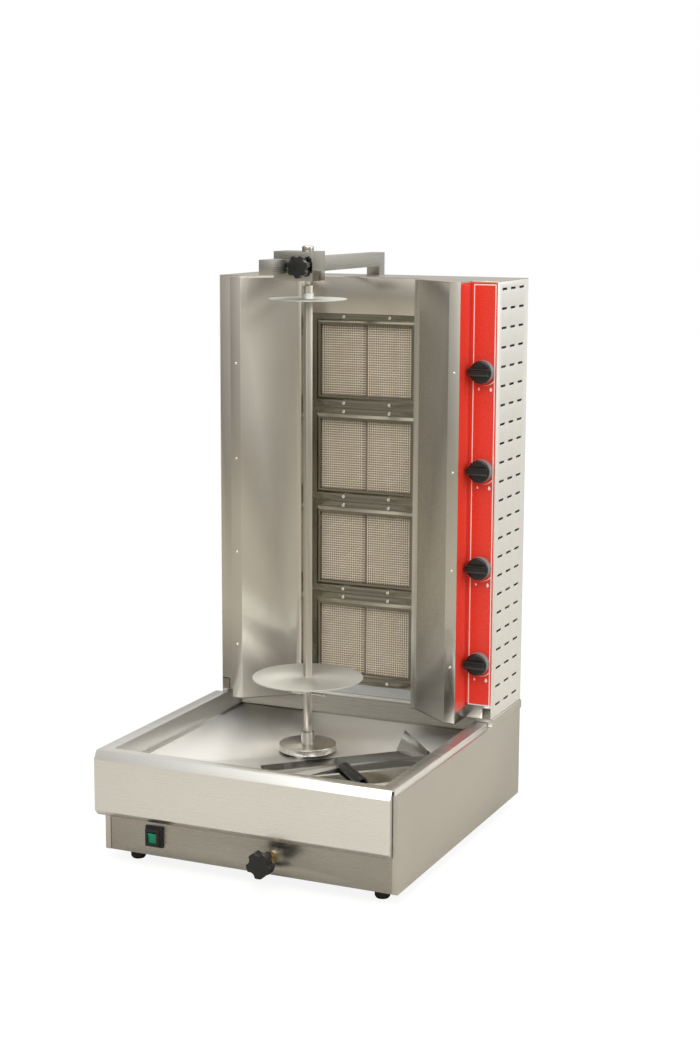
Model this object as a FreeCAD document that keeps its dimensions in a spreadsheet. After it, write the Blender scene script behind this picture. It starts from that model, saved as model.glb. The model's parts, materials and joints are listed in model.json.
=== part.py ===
import FreeCAD, Part
import os
import re
import Sketcher

# A gas rotisserie oven (vertical spit grill). A shallow base carries a grease tray, the motor
# carriage and the mains switch. A tall cabinet at the back holds four ceramic infrared burners
# one above another, with their valves and manifold in the hollow right wing. The meat spit stands
# on the carriage in front of the burners and its upper end turns in a block on an overhead arm.
# Millimetres. Model space has X to the right, Y to the back and Z up, with zero at the middle of
# the base's front bottom edge; every finished piece is then moved so that the origin is the
# centre of the oven's footprint on the table.

SIZES = [
    ("overrun", 5, "a cut beyond the faces it passes through"),
    # sheet metal and clearances
    ("sheet", 1.2, "thickness of the folded sheet"),
    ("air", 0.4, "clearance between two pieces that do not touch"),
    ("running", 0.05, "radial clearance of a shaft that turns in a bore"),
    # base
    ("base_width", 540, "left to right over the base's sides"),
    ("base_depth", 587, "front to back over base and cabinet"),
    ("base_height", 165, "base sides, without the feet"),
    ("return_width", 10, "front returns of the base sides"),
    ("ledge_left", 8, "top ledge of the left side"),
    ("ledge_right", 12, "top ledge of the right side"),
    ("foot_height", 22, "rubber foot"),
    ("foot_radius", 13, "rubber foot"),
    ("foot_side", 42, "foot centre from the side"),
    ("foot_front", 38, "foot centre from the front or back"),
    # grease tray, pushed over to the left
    ("tray_left", 14, "tray rim beyond the base's left side"),
    ("tray_right", 8, "tray rim short of the base's right side"),
    ("rim_width", 24, "flat rim of the tray"),
    ("rim_drop", 8, "folded lip under the rim"),
    ("tray_depth", 35, "rim top down to the tray floor"),
    ("tray_front", 18, "front rim, front edge of the base to the well"),
    ("fascia_reach", 11, "fascia in front of the base"),
    ("fascia_bottom", 59, "lower edge of the fascia above the base's bottom"),
    ("fascia_end", 2, "fascia short of the right rim"),
    ("bevel", 10, "fold at the fascia's lower edge"),
    ("nose", 14, "height of the fold at the fascia's upper edge"),
    ("liner_margin", 12, "tray wall to the loose liner"),
    # cabinet
    ("cabinet_depth", 158.5, "control panel plane to the back"),
    ("plinth_height", 15, "plinth between base and cabinet"),
    ("plinth_proud", 2.5, "plinth beyond the cabinet's sides"),
    ("panel_width", 49.5, "control panel"),
    ("wing_reach", 53.1, "wing in front of the control panel"),
    ("wing_flange", 20.5, "front face of a wing"),
    ("mirror_depth", 64.6, "slanted reflector, front to back"),
    ("throat", 10, "narrow face beside the burner recess"),
    ("recess_half", 110, "half width of the burner recess"),
    ("tab_width", 14, "upturned tab at each front corner of the cabinet floor"),
    ("tab_height", 18, "upturned tab at each front corner of the cabinet floor"),
    ("tab_gap", 1.4, "tab to the notch in the control panel"),
    ("header_setback", 49.5, "header panel behind the control panel plane"),
    ("header_height", 66.6, "header panel"),
    # burners
    ("burner_pitch", 172.8, "one burner above another"),
    ("burner_sill", 19.4, "cabinet floor to the lowest burner's frame zone"),
    ("burner_lintel", 64.6, "top burner's frame zone to the cabinet top"),
    ("burner_setback", 57.5, "mesh plane behind the control panel plane"),
    ("mesh_width", 180, "visible mesh"),
    ("mesh_height", 128.9, "visible mesh"),
    ("tile_width", 92, "one ceramic plaque"),
    ("tile_height", 132, "one ceramic plaque"),
    ("tile_thick", 12, "one ceramic plaque"),
    ("tile_recess", 4, "ceramic plaques behind the mesh"),
    ("rim_border", 9, "raised border of a burner frame around its mesh"),
    ("rim_slope", 5, "sloped part of that border"),
    ("rim_proud", 6, "raised border in front of the frame's flange"),
    ("box_margin", 19, "burner box flange beyond the mesh, up and down"),
    ("box_depth", 44, "burner box behind the plaques' face"),
    ("burner_screw_x", 45, "frame screws from the burner's middle"),
    # gas train
    ("valve_size", 22, "square valve body"),
    ("valve_length", 78, "valve body from the control panel"),
    ("manifold_size", 25, "square manifold tube"),
    ("venturi_radius", 13, "mixing tube"),
    ("pipe_radius", 4, "gas pipe from a valve to its burner"),
    ("inlet_radius", 10.48, "half inch pipe thread, outside radius"),
    ("inlet_length", 28, "gas inlet behind the cabinet"),
    ("inlet_height", 36, "gas inlet above the cabinet floor"),
    ("stem_radius", 4, "valve stem"),
    ("knob_radius", 22.5, "control knob skirt"),
    ("knob_depth", 26, "control knob front to back"),
    ("knob_drop", 4.5, "knob axis below its burner's middle"),
    # side panel slots
    ("slot_length", 25, "ventilation slot"),
    ("slot_height", 4, "ventilation slot"),
    ("slot_rise", 33.6, "slot rows"),
    ("slot_step", 44.5, "slot columns"),
    ("slot_start", 20, "lowest slot row above the cabinet floor"),
    # spit and turntable
    ("spit_side", 3, "spit axis left of the middle"),
    ("spit_front", 242, "spit axis behind the base's front"),
    ("spit_square", 12, "square spit bar"),
    ("spit_top", 1007, "upper end of the spit bar above the base's bottom"),
    ("table_radius", 50, "turntable"),
    ("table_thick", 12, "turntable"),
    ("table_gap", 5, "tray floor to the turntable"),
    ("socket_radius", 12, "socket on the turntable"),
    ("socket_height", 20, "socket on the turntable"),
    ("shaft_radius", 8, "drive shaft"),
    ("lower_disc_radius", 96.5, "lower meat disc"),
    ("lower_disc_height", 134, "lower meat disc above the tray floor"),
    ("disc_thick", 2, "meat discs"),
    ("hub_radius", 10, "hub of a meat disc"),
    ("hub_height", 9, "hub on the upper meat disc"),
    ("lower_hub", 25, "hub under the lower meat disc"),
    ("cross_pin_length", 60, "pin under the lower disc"),
    ("cross_pin_radius", 2, "pin under the lower disc"),
    ("upper_disc_radius", 66, "upper meat disc"),
    ("upper_disc_drop", 29, "upper meat disc below the cabinet top"),
    # overhead arm
    ("tube_size", 25, "square tube of arm and post"),
    ("tube_wall", 2, "wall of the square tube"),
    ("arm_lift", 15, "cabinet top to the arm"),
    ("arm_front", 143, "front end of the arm"),
    ("arm_side", 17.5, "arm's right face left of the spit axis"),
    ("post_length", 260, "post below the arm's top"),
    ("bolt_radius", 4, "bolts of the post"),
    ("bolt_head", 3, "height of a bolt's head"),
    ("block_width", 72, "head block"),
    ("block_depth", 50, "head block"),
    ("block_height", 49, "head block"),
    ("block_right", 20, "head block right of the spit axis"),
    ("top_pin_radius", 6, "pin that holds the spit's upper end"),
    ("top_pin_head", 10, "head radius of the top pin"),
    ("top_pin_rise", 9, "head of the top pin above the block"),
    ("top_pin_reach", 32, "top pin below the block's underside"),
    ("head_knob_radius", 19, "seven-lobed knob on the head block"),
    ("head_knob_reach", 28, "front of that knob ahead of the block"),
    # carriage and drive
    ("rail_radius", 6, "guide rail"),
    ("rail_spread", 66, "guide rail from the spit axis"),
    ("rail_height", 74, "guide rail above the base's bottom"),
    ("carriage_back", 16, "carriage travel towards the burners"),
    ("carriage_forward", 30, "carriage travel away from the burners"),
    ("carriage_width", 170, "carriage plate"),
    ("carriage_length", 120, "carriage plate"),
    ("carriage_thick", 4, "carriage plate"),
    ("motor_radius", 31, "gear motor"),
    ("motor_height", 52, "gear motor"),
    ("gearbox_height", 30, "gearbox"),
    ("rod_radius", 4, "adjusting rod"),
    ("rod_side", 44, "adjusting rod right of the middle"),
    ("rod_height", 30, "adjusting rod above the base's bottom"),
    ("slide_knob_radius", 22, "five-lobed knob on the adjusting rod"),
    ("slide_knob_reach", 47, "front of that knob ahead of the base"),
    ("slide_knob_thick", 20, "five-lobed knob"),
    # switch and cable gland
    ("switch_side", 174.5, "switch left of the middle"),
    ("switch_height", 34, "switch above the base's bottom"),
    ("switch_width", 33, "switch bezel"),
    ("switch_tall", 36, "switch bezel"),
    ("switch_proud", 10, "switch bezel and boot in front of the panel"),
    ("rocker_pivot", 2, "radius of the rocker's two pivots"),
    ("gland_radius", 10, "cable gland"),
    ("gland_bore", 4, "bore of the cable gland"),
    # meat scoop
    ("scoop_length", 300, "wall of the scoop"),
    ("scoop_depth", 82, "scoop floor behind the wall, left end"),
    ("scoop_spread", 8, "scoop floor deeper at its right end"),
    ("scoop_taper", 32, "scoop floor shorter at its back, right end"),
    ("scoop_apron", 73, "scoop floor in front of the wall"),
    ("scoop_wall", 16, "wall of the scoop"),
    ("scoop_flap", 44, "pointed flap at the scoop's right end"),
    ("grip_radius", 9, "scoop handle"),
    ("grip_wall", 3, "wall of the scoop handle"),
    ("grip_length", 92, "scoop handle"),
]

BURNERS = 4
SLOT_ROWS = 23
SLOT_COLUMNS = 3

doc = FreeCAD.newDocument("rotisserie_oven")
sheet = doc.addObject("Spreadsheet::Sheet", "Sizes")
for row, (alias, size, meaning) in enumerate(SIZES, start=1):
    sheet.set(f"A{row}", meaning)
    sheet.set(f"B{row}", str(size))
    sheet.setAlias(f"B{row}", alias)
doc.recompute()

ALIASES = {alias for alias, size, meaning in SIZES}
PIECES = []


def bound(text):
    """The expression with every alias written as a cell of the sheet."""
    return re.sub(r"[a-z_]+", lambda word: f"Sizes.{word[0]}" if word[0] in ALIASES else word[0], str(text))


def number(text):
    """The present value of such an expression."""
    return float(sheet.evalExpression(bound(text)))


# Places that several pieces share, as expressions of the sheet.
SIDE = "(base_width / 2)"
SPIT_X = "(-spit_side)"
SPIT_Y = "spit_front"
CABINET_Y = "(base_depth - cabinet_depth)"
PLINTH_TOP = "(base_height + plinth_height)"
FLOOR_Z = f"({PLINTH_TOP} + sheet)"
STACK_Z = f"({FLOOR_Z} + burner_sill)"
CABINET_TOP = f"({STACK_Z} + {BURNERS} * burner_pitch + burner_lintel)"
COVER_Z = f"({CABINET_TOP} - sheet)"
TRAY_X_LOW = f"(-{SIDE} - tray_left)"
TRAY_X_HIGH = f"({SIDE} - tray_right)"
RIM_TOP = "(base_height + rim_drop)"
TRAY_FLOOR = f"({RIM_TOP} - tray_depth)"
WELL_LOW = f"({TRAY_X_LOW} + rim_width)"
WELL_HIGH = f"({TRAY_X_HIGH} - rim_width)"
MESH_Y = f"({CABINET_Y} + burner_setback)"
TRAY_BACK = f"({MESH_Y} + 4)"
WING_X = f"({SIDE} - panel_width)"
WING_Y = f"({CABINET_Y} - wing_reach)"
MIRROR_Y = f"({WING_Y} + mirror_depth)"
HEADER_Y = f"({CABINET_Y} + header_setback)"
PLATE_Y = f"({MESH_Y} + 2.4 + air)"
ARM_LOW = f"({CABINET_TOP} + arm_lift)"
ARM_HIGH = f"({ARM_LOW} + tube_size)"
ARM_X_HIGH = f"({SPIT_X} - arm_side)"
ARM_X_LOW = f"({ARM_X_HIGH} - tube_size)"
BLOCK_MIDDLE = f"({ARM_LOW} + tube_size / 2)"
BLOCK_LOW = f"({BLOCK_MIDDLE} - block_height / 2)"
BLOCK_HIGH = f"({BLOCK_MIDDLE} + block_height / 2)"
BLOCK_Y_LOW = f"({SPIT_Y} - block_depth / 2)"
BLOCK_Y_HIGH = f"({SPIT_Y} + block_depth / 2)"
TABLE_LOW = f"({TRAY_FLOOR} + table_gap)"
TABLE_HIGH = f"({TABLE_LOW} + table_thick)"
PLATE_Z = "(rail_height + rail_radius + 5)"
GEARBOX_Z = f"({PLATE_Z} + carriage_thick)"
VALVE_X = f"({SIDE} - panel_width / 2)"

# The finished pieces move so that the footprint's centre on the table is the origin.
ORIGIN_X = f"(({SIDE} + plinth_proud + {TRAY_X_LOW}) / 2)"
ORIGIN_Y = "((base_depth + inlet_length - slide_knob_reach) / 2)"
SHIFT = (f"-{ORIGIN_X}", f"-{ORIGIN_Y}", "foot_height")


def place(item, at=("0", "0", "0")):
    """Bind an object's position to the sheet, in the finished frame."""
    for axis, own, shift in zip("xyz", at, SHIFT):
        item.setExpression(f"Placement.Base.{axis}", bound(f"{own} + ({shift})"))


def piece(label, *items):
    """Name a finished sub-part; several solids of one kind share a compound."""
    if len(items) == 1 and items[0].TypeId != "Part::Box" and items[0].TypeId != "Part::Cylinder":
        whole = items[0]
    else:
        whole = doc.addObject("Part::Compound", f"{label}_set")
        whole.Links = list(items)
    if whole.TypeId != "PartDesign::Body":
        place(whole)
    whole.Label = label
    PIECES.append(whole)
    return whole


def box(name, across, along, up):
    """A block between two expressions on each axis."""
    block = doc.addObject("Part::Box", name)
    for size, axis, (low, high) in zip(("Length", "Width", "Height"), "xyz", (across, along, up)):
        block.setExpression(size, bound(f"({high}) - ({low})"))
        block.setExpression(f"Placement.Base.{axis}", bound(low))
    return block


TURNS = {
    "x": FreeCAD.Rotation(FreeCAD.Vector(0, 1, 0), 90),
    "y": FreeCAD.Rotation(FreeCAD.Vector(1, 0, 0), -90),
    "z": FreeCAD.Rotation(),
}


def rod(name, axis, radius, centre, span, tip=None):
    """A cylinder, or a cone that ends in the radius tip, along x, y or z from span[0] to span[1]."""
    kind = "Part::Cylinder" if tip is None else "Part::Cone"
    round_bar = doc.addObject(kind, name)
    round_bar.Placement.Rotation = TURNS[axis]
    if tip is None:
        round_bar.setExpression("Radius", bound(radius))
    else:
        round_bar.setExpression("Radius1", bound(radius))
        round_bar.setExpression("Radius2", bound(tip))
    round_bar.setExpression("Height", bound(f"({span[1]}) - ({span[0]})"))
    places = list(centre)
    places.insert("xyz".index(axis), span[0])
    for letter, value in zip("xyz", places):
        round_bar.setExpression(f"Placement.Base.{letter}", bound(value))
    return round_bar


def fuse(name, *items):
    whole = doc.addObject("Part::MultiFuse", name)
    whole.Shapes = list(items)
    return whole


def cut(name, base, *tools):
    """The base less one tool or several."""
    rest = doc.addObject("Part::Cut", name)
    rest.Base = base
    rest.Tool = tools[0] if len(tools) == 1 else fuse(f"{name}_tools", *tools)
    return rest


def tube(name, across, along, up, wall, open_axis):
    """A square tube or an open box: the wall is taken off every axis but the open ones."""
    spans = []
    for axis, (low, high) in zip("xyz", (across, along, up)):
        if axis in open_axis:
            spans.append((f"{low} - 1", f"{high} + 1"))
        else:
            spans.append((f"{low} + {wall}", f"{high} - {wall}"))
    return cut(name, box(f"{name}_outer", across, along, up), box(f"{name}_inner", *spans))


def slot(name, radius, up, margin="0"):
    """The space that the drive shaft sweeps as the carriage travels."""
    low = f"{SPIT_Y} - carriage_forward"
    high = f"{SPIT_Y} + carriage_back"
    wide = f"({radius} + {margin})"
    middle = box(f"{name}_middle", (f"{SPIT_X} - {wide}", f"{SPIT_X} + {wide}"), (low, high), up)
    near = rod(f"{name}_near", "z", wide, (SPIT_X, low), up)
    far = rod(f"{name}_far", "z", wide, (SPIT_X, high), up)
    return fuse(name, middle, near, far)


def new_body(name, at=("0", "0", "0"), turn=None):
    body = doc.addObject("PartDesign::Body", name)
    if turn is not None:
        body.Placement.Rotation = turn
    place(body, at)
    return body


def new_sketch(body, name, role, height="0"):
    """A sketch on one of the body's own origin planes, lifted along its normal."""
    outline = body.newObject("Sketcher::SketchObject", name)
    plane = [item for item in body.Origin.OriginFeatures if item.Role == role][0]
    outline.AttachmentSupport = [(plane, "")]
    outline.MapMode = "FlatFace"
    outline.setExpression("AttachmentOffset.Base.z", bound(height))
    return outline


def bind(outline, kind, value, *where):
    """A dimension of the sketch that follows the sheet."""
    index = outline.addConstraint(Sketcher.Constraint(kind, *where, number(value)))
    outline.setExpression(f"Constraints[{index}]", bound(value))


def polygon(outline, points):
    """A closed outline whose corners are tied to the sheet."""
    first = outline.GeometryCount
    corners = [FreeCAD.Vector(number(u), number(v), 0) for u, v in points]
    count = len(points)
    for step in range(count):
        outline.addGeometry(Part.LineSegment(corners[step], corners[(step + 1) % count]))
    for step in range(count):
        after = (step + 1) % count
        outline.addConstraint(Sketcher.Constraint("Coincident", first + step, 2, first + after, 1))
    for step, (u, v) in enumerate(points):
        bind(outline, "DistanceX", u, -1, 1, first + step, 1)
        bind(outline, "DistanceY", v, -1, 1, first + step, 1)


def circle(outline, radius, u="0", v="0"):
    """A circle tied to the sheet."""
    centre = FreeCAD.Vector(number(u), number(v), 0)
    ring = outline.addGeometry(Part.Circle(centre, FreeCAD.Vector(0, 0, 1), number(radius)))
    bind(outline, "Radius", radius, ring)
    bind(outline, "DistanceX", u, -1, 1, ring, 3)
    bind(outline, "DistanceY", v, -1, 1, ring, 3)


def folded(outline, points, side):
    """A folded sheet seen end on: the outer face follows the points, and the inner face lies one
    sheet thickness away, on the right (side 1) or on the left (side -1)."""
    corners = [FreeCAD.Vector(number(u), number(v), 0) for u, v in points]
    count = len(corners)
    wall = number("sheet") * side
    normals = []
    for start, end in zip(corners, corners[1:]):
        run = (end - start).normalize()
        normals.append(FreeCAD.Vector(run.y, -run.x, 0))
    inner = []
    for step in range(count):
        before = normals[max(step - 1, 0)]
        after = normals[min(step, count - 2)]
        inner.append(corners[step] + (before + after) * (wall / (1 + before.dot(after))))
    for start, end in zip(corners, corners[1:]):
        outline.addGeometry(Part.LineSegment(start, end))
    outline.addGeometry(Part.LineSegment(corners[-1], inner[-1]))
    for end, start in zip(inner[::-1], inner[-2::-1]):
        outline.addGeometry(Part.LineSegment(end, start))
    outline.addGeometry(Part.LineSegment(inner[0], corners[0]))
    total = 2 * count
    for step in range(total):
        outline.addConstraint(Sketcher.Constraint("Coincident", step, 2, (step + 1) % total, 1))
    for step, (u, v) in enumerate(points):
        bind(outline, "DistanceX", u, -1, 1, step, 1)
        bind(outline, "DistanceY", v, -1, 1, step, 1)
    for step in range(count - 1):
        mate = total - 2 - step
        outline.addConstraint(Sketcher.Constraint("Parallel", step, mate))
        bind(outline, "Distance", "sheet", mate, 1, step)
    outline.addConstraint(Sketcher.Constraint("Perpendicular", count - 1, count - 2))
    outline.addConstraint(Sketcher.Constraint("Perpendicular", total - 1, 0))


def pad(body, name, outline, length):
    feature = body.newObject("PartDesign::Pad", name)
    feature.Profile = outline
    feature.setExpression("Length", bound(length))
    return feature


def pocket_through(body, name, outline):
    """Cuts the outline out of the whole body, both ways."""
    feature = body.newObject("PartDesign::Pocket", name)
    feature.Profile = outline
    feature.Type = "ThroughAll"
    feature.Midplane = True
    return feature


def new_body_plain(name):
    """A body that is only a tool for a boolean, left in model space."""
    return doc.addObject("PartDesign::Body", name)


def sweep_plate(label, role, points, low, high, finished=True):
    """A plate or bar: one outline, carried along the plane's normal from low to high."""
    body = new_body(label) if finished else new_body_plain(label)
    outline = new_sketch(body, f"{label}_outline", role, low)
    polygon(outline, points)
    pad(body, f"{label}_pad", outline, f"({high}) - ({low})")
    return body


def turned(label, points, at, turn=None):
    """A piece turned about its own Z axis, from an outline of radius and height."""
    body = new_body(label, at, turn)
    outline = new_sketch(body, f"{label}_profile", "XZ_Plane")
    polygon(outline, points)
    feature = body.newObject("PartDesign::Revolution", f"{label}_turn")
    feature.Profile = outline
    feature.ReferenceAxis = (outline, ["V_Axis"])
    feature.Angle = 360
    return body


FORWARD = FreeCAD.Rotation(FreeCAD.Vector(1, 0, 0), 90)


def lobed_knob(label, at, radius, thick, lobes, bite):
    """A star knob that faces forward: a disc with round bites between its lobes, and its collar."""
    body = new_body(label, at, FORWARD)
    face = new_sketch(body, f"{label}_face", "XY_Plane")
    circle(face, radius)
    pad(body, f"{label}_disc", face, thick)
    edge = new_sketch(body, f"{label}_edge", "XY_Plane")
    circle(edge, bite, "0", f"{radius} + {bite} * 0.45")
    scallop = body.newObject("PartDesign::Pocket", f"{label}_bite")
    scallop.Profile = edge
    scallop.Type = "ThroughAll"
    scallop.Midplane = True
    pattern = body.newObject("PartDesign::PolarPattern", f"{label}_bites")
    pattern.Originals = [scallop]
    pattern.Axis = (face, ["N_Axis"])
    pattern.Angle = 360
    pattern.Occurrences = lobes
    body.Tip = pattern
    collar = new_sketch(body, f"{label}_collar", "XY_Plane")
    circle(collar, f"{radius} * 0.42")
    neck = pad(body, f"{label}_neck", collar, f"{thick} * 0.35")
    neck.Reversed = True
    body.Tip = neck
    return body


# ---------------------------------------------------------------- base
def make_base():
    outer = ((f"-{SIDE}", SIDE), ("0", "base_depth"), ("0", "base_height"))
    wrap = tube("base_wrap", *outer, "sheet", "z")
    window = (f"-{SIDE} + return_width", f"{SIDE} - return_width")
    opening = box("base_front_opening", window, ("-1", "sheet + 0.1"), ("-1", "base_height + 1"))
    inside = ("sheet", "base_depth - sheet")
    top = ("base_height - sheet", "base_height")
    left = box("ledge_left_strip", (f"-{SIDE} + sheet", f"-{SIDE} + ledge_left"), inside, top)
    right = box("ledge_right_strip", (f"{SIDE} - ledge_right", f"{SIDE} - sheet"), inside, top)
    rear_span = (f"-{SIDE} + ledge_left", f"{SIDE} - ledge_right")
    rear = box("ledge_rear_strip", rear_span, ("base_depth - 60", "base_depth - sheet"), top)
    gland = rod(
        "gland_hole",
        "y",
        "gland_radius + 0.2",
        (f"-{SIDE} + 80", "60"),
        ("base_depth - overrun", "base_depth + overrun"),
    )
    shell = fuse("base_with_ledges", cut("base_open", wrap, opening), left, right, rear)
    piece("base_shell", cut("base_shell_cut", shell, gland))

    across = (f"-{SIDE} + sheet", f"{SIDE} - sheet")
    blank = box("front_blank", across, ("sheet", "2 * sheet"), ("0", "base_height - sheet"))
    switch_hole = box(
        "switch_hole",
        ("-switch_side - switch_width / 2 + 3", "-switch_side + switch_width / 2 - 3"),
        ("0", "3 * sheet"),
        ("switch_height - switch_tall / 2 + 3", "switch_height + switch_tall / 2 - 3"),
    )
    rod_hole = rod("rod_hole", "y", "rod_radius + 3.2", ("rod_side", "rod_height"), ("0", "3 * sheet"))
    piece("front_panel", cut("front_panel_cut", blank, switch_hole, rod_hole))

    bush = rod("bush_outer", "y", "rod_radius + 3", ("rod_side", "rod_height"), ("-2", "2 * sheet + 10"))
    flange = rod("bush_flange", "y", "rod_radius + 6", ("rod_side", "rod_height"), ("-2", "sheet"))
    bore = rod("bush_bore", "y", "rod_radius + running", ("rod_side", "rod_height"), ("-5", "30"))
    piece("rod_bush", cut("rod_bush_cut", fuse("rod_bush_solid", bush, flange), bore))

    plate = box("bottom_blank", across, ("2 * sheet", "base_depth - sheet"), ("0", "sheet"))
    vents = []
    for count in range(6):
        low = f"{CABINET_Y} - 20 - {count * 18}"
        vents.append(box(f"bottom_vent_{count}", ("-30", "30"), (low, f"{low} + 6"), ("-1", "2 * sheet")))
    piece("bottom_plate", cut("bottom_plate_cut", plate, *vents))

    feet = []
    for x_name, x in (("left", f"-{SIDE} + foot_side"), ("right", f"{SIDE} - foot_side")):
        for y_name, y in (("front", "foot_front"), ("back", "base_depth - foot_front")):
            name = f"foot_{x_name}_{y_name}"
            pad_part = rod(f"{name}_pad", "z", "foot_radius", (x, y), ("4 - foot_height", "0"))
            toe = rod(
                f"{name}_toe",
                "z",
                "foot_radius - 2.5",
                (x, y),
                ("-foot_height", "4 - foot_height"),
                "foot_radius",
            )
            feet.append(fuse(name, pad_part, toe))
    piece("feet", *feet)


# ---------------------------------------------------------------- grease tray
def make_tray():
    rim_end = f"({CABINET_Y} + 1.5)"
    well = ((WELL_LOW, WELL_HIGH), ("tray_front", TRAY_BACK), (TRAY_FLOOR, RIM_TOP))
    skin = [(f"{low} - sheet", f"{high} + sheet") for low, high in well[:2]]
    solid = box("well_outer", *skin, (f"{TRAY_FLOOR} - sheet", RIM_TOP))
    hollow = box("well_inner", *well[:2], (TRAY_FLOOR, f"{RIM_TOP} + 1"))
    pan = cut("well", solid, hollow)
    top = (f"{RIM_TOP} - sheet", RIM_TOP)
    drop = ("base_height", RIM_TOP)
    left = box("rim_left", (TRAY_X_LOW, WELL_LOW), ("-2", rim_end), top)
    left_lip = box("rim_left_lip", (TRAY_X_LOW, f"{TRAY_X_LOW} + sheet"), ("-0.6", rim_end), drop)
    right = box("rim_right", (WELL_HIGH, TRAY_X_HIGH), ("-2", rim_end), top)
    right_lip = box("rim_right_lip", (f"{TRAY_X_HIGH} - sheet", TRAY_X_HIGH), ("3", rim_end), drop)

    section = (
        ("-(sheet + air)", "fascia_bottom"),
        ("-fascia_reach", "fascia_bottom + bevel"),
        ("-fascia_reach", f"{RIM_TOP} - nose"),
        ("-2", RIM_TOP),
        ("tray_front", RIM_TOP),
    )
    fascia = new_body_plain("fascia")
    outline = new_sketch(fascia, "fascia_outline", "YZ_Plane", TRAY_X_LOW)
    folded(outline, section, 1)
    pad(fascia, "fascia_pad", outline, f"{TRAY_X_HIGH} - fascia_end - ({TRAY_X_LOW})")
    caps = []
    for name, low in (("left", TRAY_X_LOW), ("right", f"{TRAY_X_HIGH} - fascia_end - sheet")):
        cap = new_body_plain(f"fascia_cap_{name}")
        face = new_sketch(cap, f"fascia_cap_{name}_outline", "YZ_Plane", low)
        polygon(face, section[:4] + (("-(sheet + air)", RIM_TOP),))
        pad(cap, f"fascia_cap_{name}_pad", face, "sheet")
        caps.append(cap)
    whole = fuse("tray_solid", pan, left, left_lip, right, right_lip, fascia, *caps)
    collar_up = (f"{TRAY_FLOOR} - 0.5", f"{TRAY_FLOOR} + table_gap - 1.5")
    collar = slot("slot_collar", "shaft_radius", collar_up, "2 + sheet")
    hole = slot("slot_hole", "shaft_radius", (f"{TRAY_FLOOR} - 10", f"{TRAY_FLOOR} + 10"), "2")
    piece("tray", cut("tray_cut", fuse("tray_with_collar", whole, collar), hole))

    liner_x = (f"{WELL_LOW} + liner_margin", f"{WELL_HIGH} - liner_margin")
    liner_y = ("tray_front + liner_margin", f"{TRAY_BACK} - liner_margin")
    liner = box("liner_blank", liner_x, liner_y, (TRAY_FLOOR, f"{TRAY_FLOOR} + sheet"))
    room = slot("liner_hole", "shaft_radius", (f"{TRAY_FLOOR} - 1", f"{TRAY_FLOOR} + 3"), "2 + sheet + air")
    piece("tray_liner", cut("tray_liner_cut", liner, room))


# ---------------------------------------------------------------- cabinet shell
def make_plinth():
    across = (f"-{SIDE} - plinth_proud", f"{SIDE} + plinth_proud")
    along = (f"{CABINET_Y} + 5.5", "base_depth")
    slab = box("plinth_slab", across, along, ("base_height", PLINTH_TOP))
    notch_x = (f"{WELL_LOW} - sheet - 1", f"{WELL_HIGH} + sheet + 1")
    notch = box("plinth_notch", notch_x, ("0", f"{TRAY_BACK} + sheet + 1"), ("0", f"{PLINTH_TOP} + 1"))
    under = ("base_height - 1", f"{PLINTH_TOP} - sheet")
    behind = (f"{TRAY_BACK} + 2 * sheet + 1", "base_depth - sheet")
    hollow = box("plinth_hollow", (f"-{SIDE} + ledge_left", f"{SIDE} - ledge_right"), behind, under)
    piece("plinth", cut("plinth_cut", slab, notch, hollow))


def plan_outline(recess_y):
    """The cabinet seen from above, wings included, back to the given line of the burner recess."""
    half = (
        (SIDE, "base_depth"),
        (SIDE, CABINET_Y),
        (WING_X, CABINET_Y),
        (WING_X, WING_Y),
        (f"{WING_X} - wing_flange", WING_Y),
        ("recess_half + throat", MIRROR_Y),
        ("recess_half", MIRROR_Y),
        ("recess_half", recess_y),
    )
    return half + tuple((f"-({x})", y) for x, y in half[::-1])


def make_side(label, sign):
    """A cabinet side with its rows of ventilation slots."""
    body = new_body(label)
    face = SIDE if sign > 0 else f"(-{SIDE} + sheet)"
    outline = new_sketch(body, f"{label}_outline", "YZ_Plane", f"{face} - sheet")
    low, high = CABINET_Y, "base_depth"
    polygon(outline, ((low, FLOOR_Z), (high, FLOOR_Z), (high, COVER_Z), (low, COVER_Z)))
    pad(body, f"{label}_pad", outline, "sheet")
    row = new_sketch(body, f"{label}_row", "YZ_Plane", f"{face} - sheet")
    for column in range(SLOT_COLUMNS):
        middle = f"({CABINET_Y} + cabinet_depth / 2 + {column - 1} * slot_step - 2)"
        near, far = f"{middle} - slot_length / 2", f"{middle} + slot_length / 2"
        bottom, top = f"{FLOOR_Z} + slot_start", f"{FLOOR_Z} + slot_start + slot_height"
        polygon(row, ((near, bottom), (far, bottom), (far, top), (near, top)))
    holes = pocket_through(body, f"{label}_slots", row)
    pattern = body.newObject("PartDesign::LinearPattern", f"{label}_rows")
    pattern.Originals = [holes]
    pattern.Direction = (row, ["V_Axis"])
    pattern.setExpression("Length", bound(f"slot_rise * {SLOT_ROWS - 1}"))
    pattern.Occurrences = SLOT_ROWS
    body.Tip = pattern
    piece(label, body)


def make_wing(label, sign):
    """Hollow wing: return beside the control panel, front face, mirror, narrow face, recess wall."""
    points = (
        (f"{sign} * {WING_X}", f"{CABINET_Y} + sheet"),
        (f"{sign} * {WING_X}", WING_Y),
        (f"{sign} * ({WING_X} - wing_flange)", WING_Y),
        (f"{sign} * (recess_half + throat)", MIRROR_Y),
        (f"{sign} * recess_half", MIRROR_Y),
        (f"{sign} * recess_half", f"{PLATE_Y} - air"),
    )
    body = new_body(label)
    outline = new_sketch(body, f"{label}_outline", "XY_Plane", FLOOR_Z)
    folded(outline, points, sign)
    pad(body, f"{label}_pad", outline, f"{COVER_Z} - {FLOOR_Z}")
    piece(label, body)


def knob_heights():
    """The knob axis of each burner, lowest first."""
    return [f"({STACK_Z} + {count + 0.5} * burner_pitch - knob_drop)" for count in range(BURNERS)]


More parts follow.
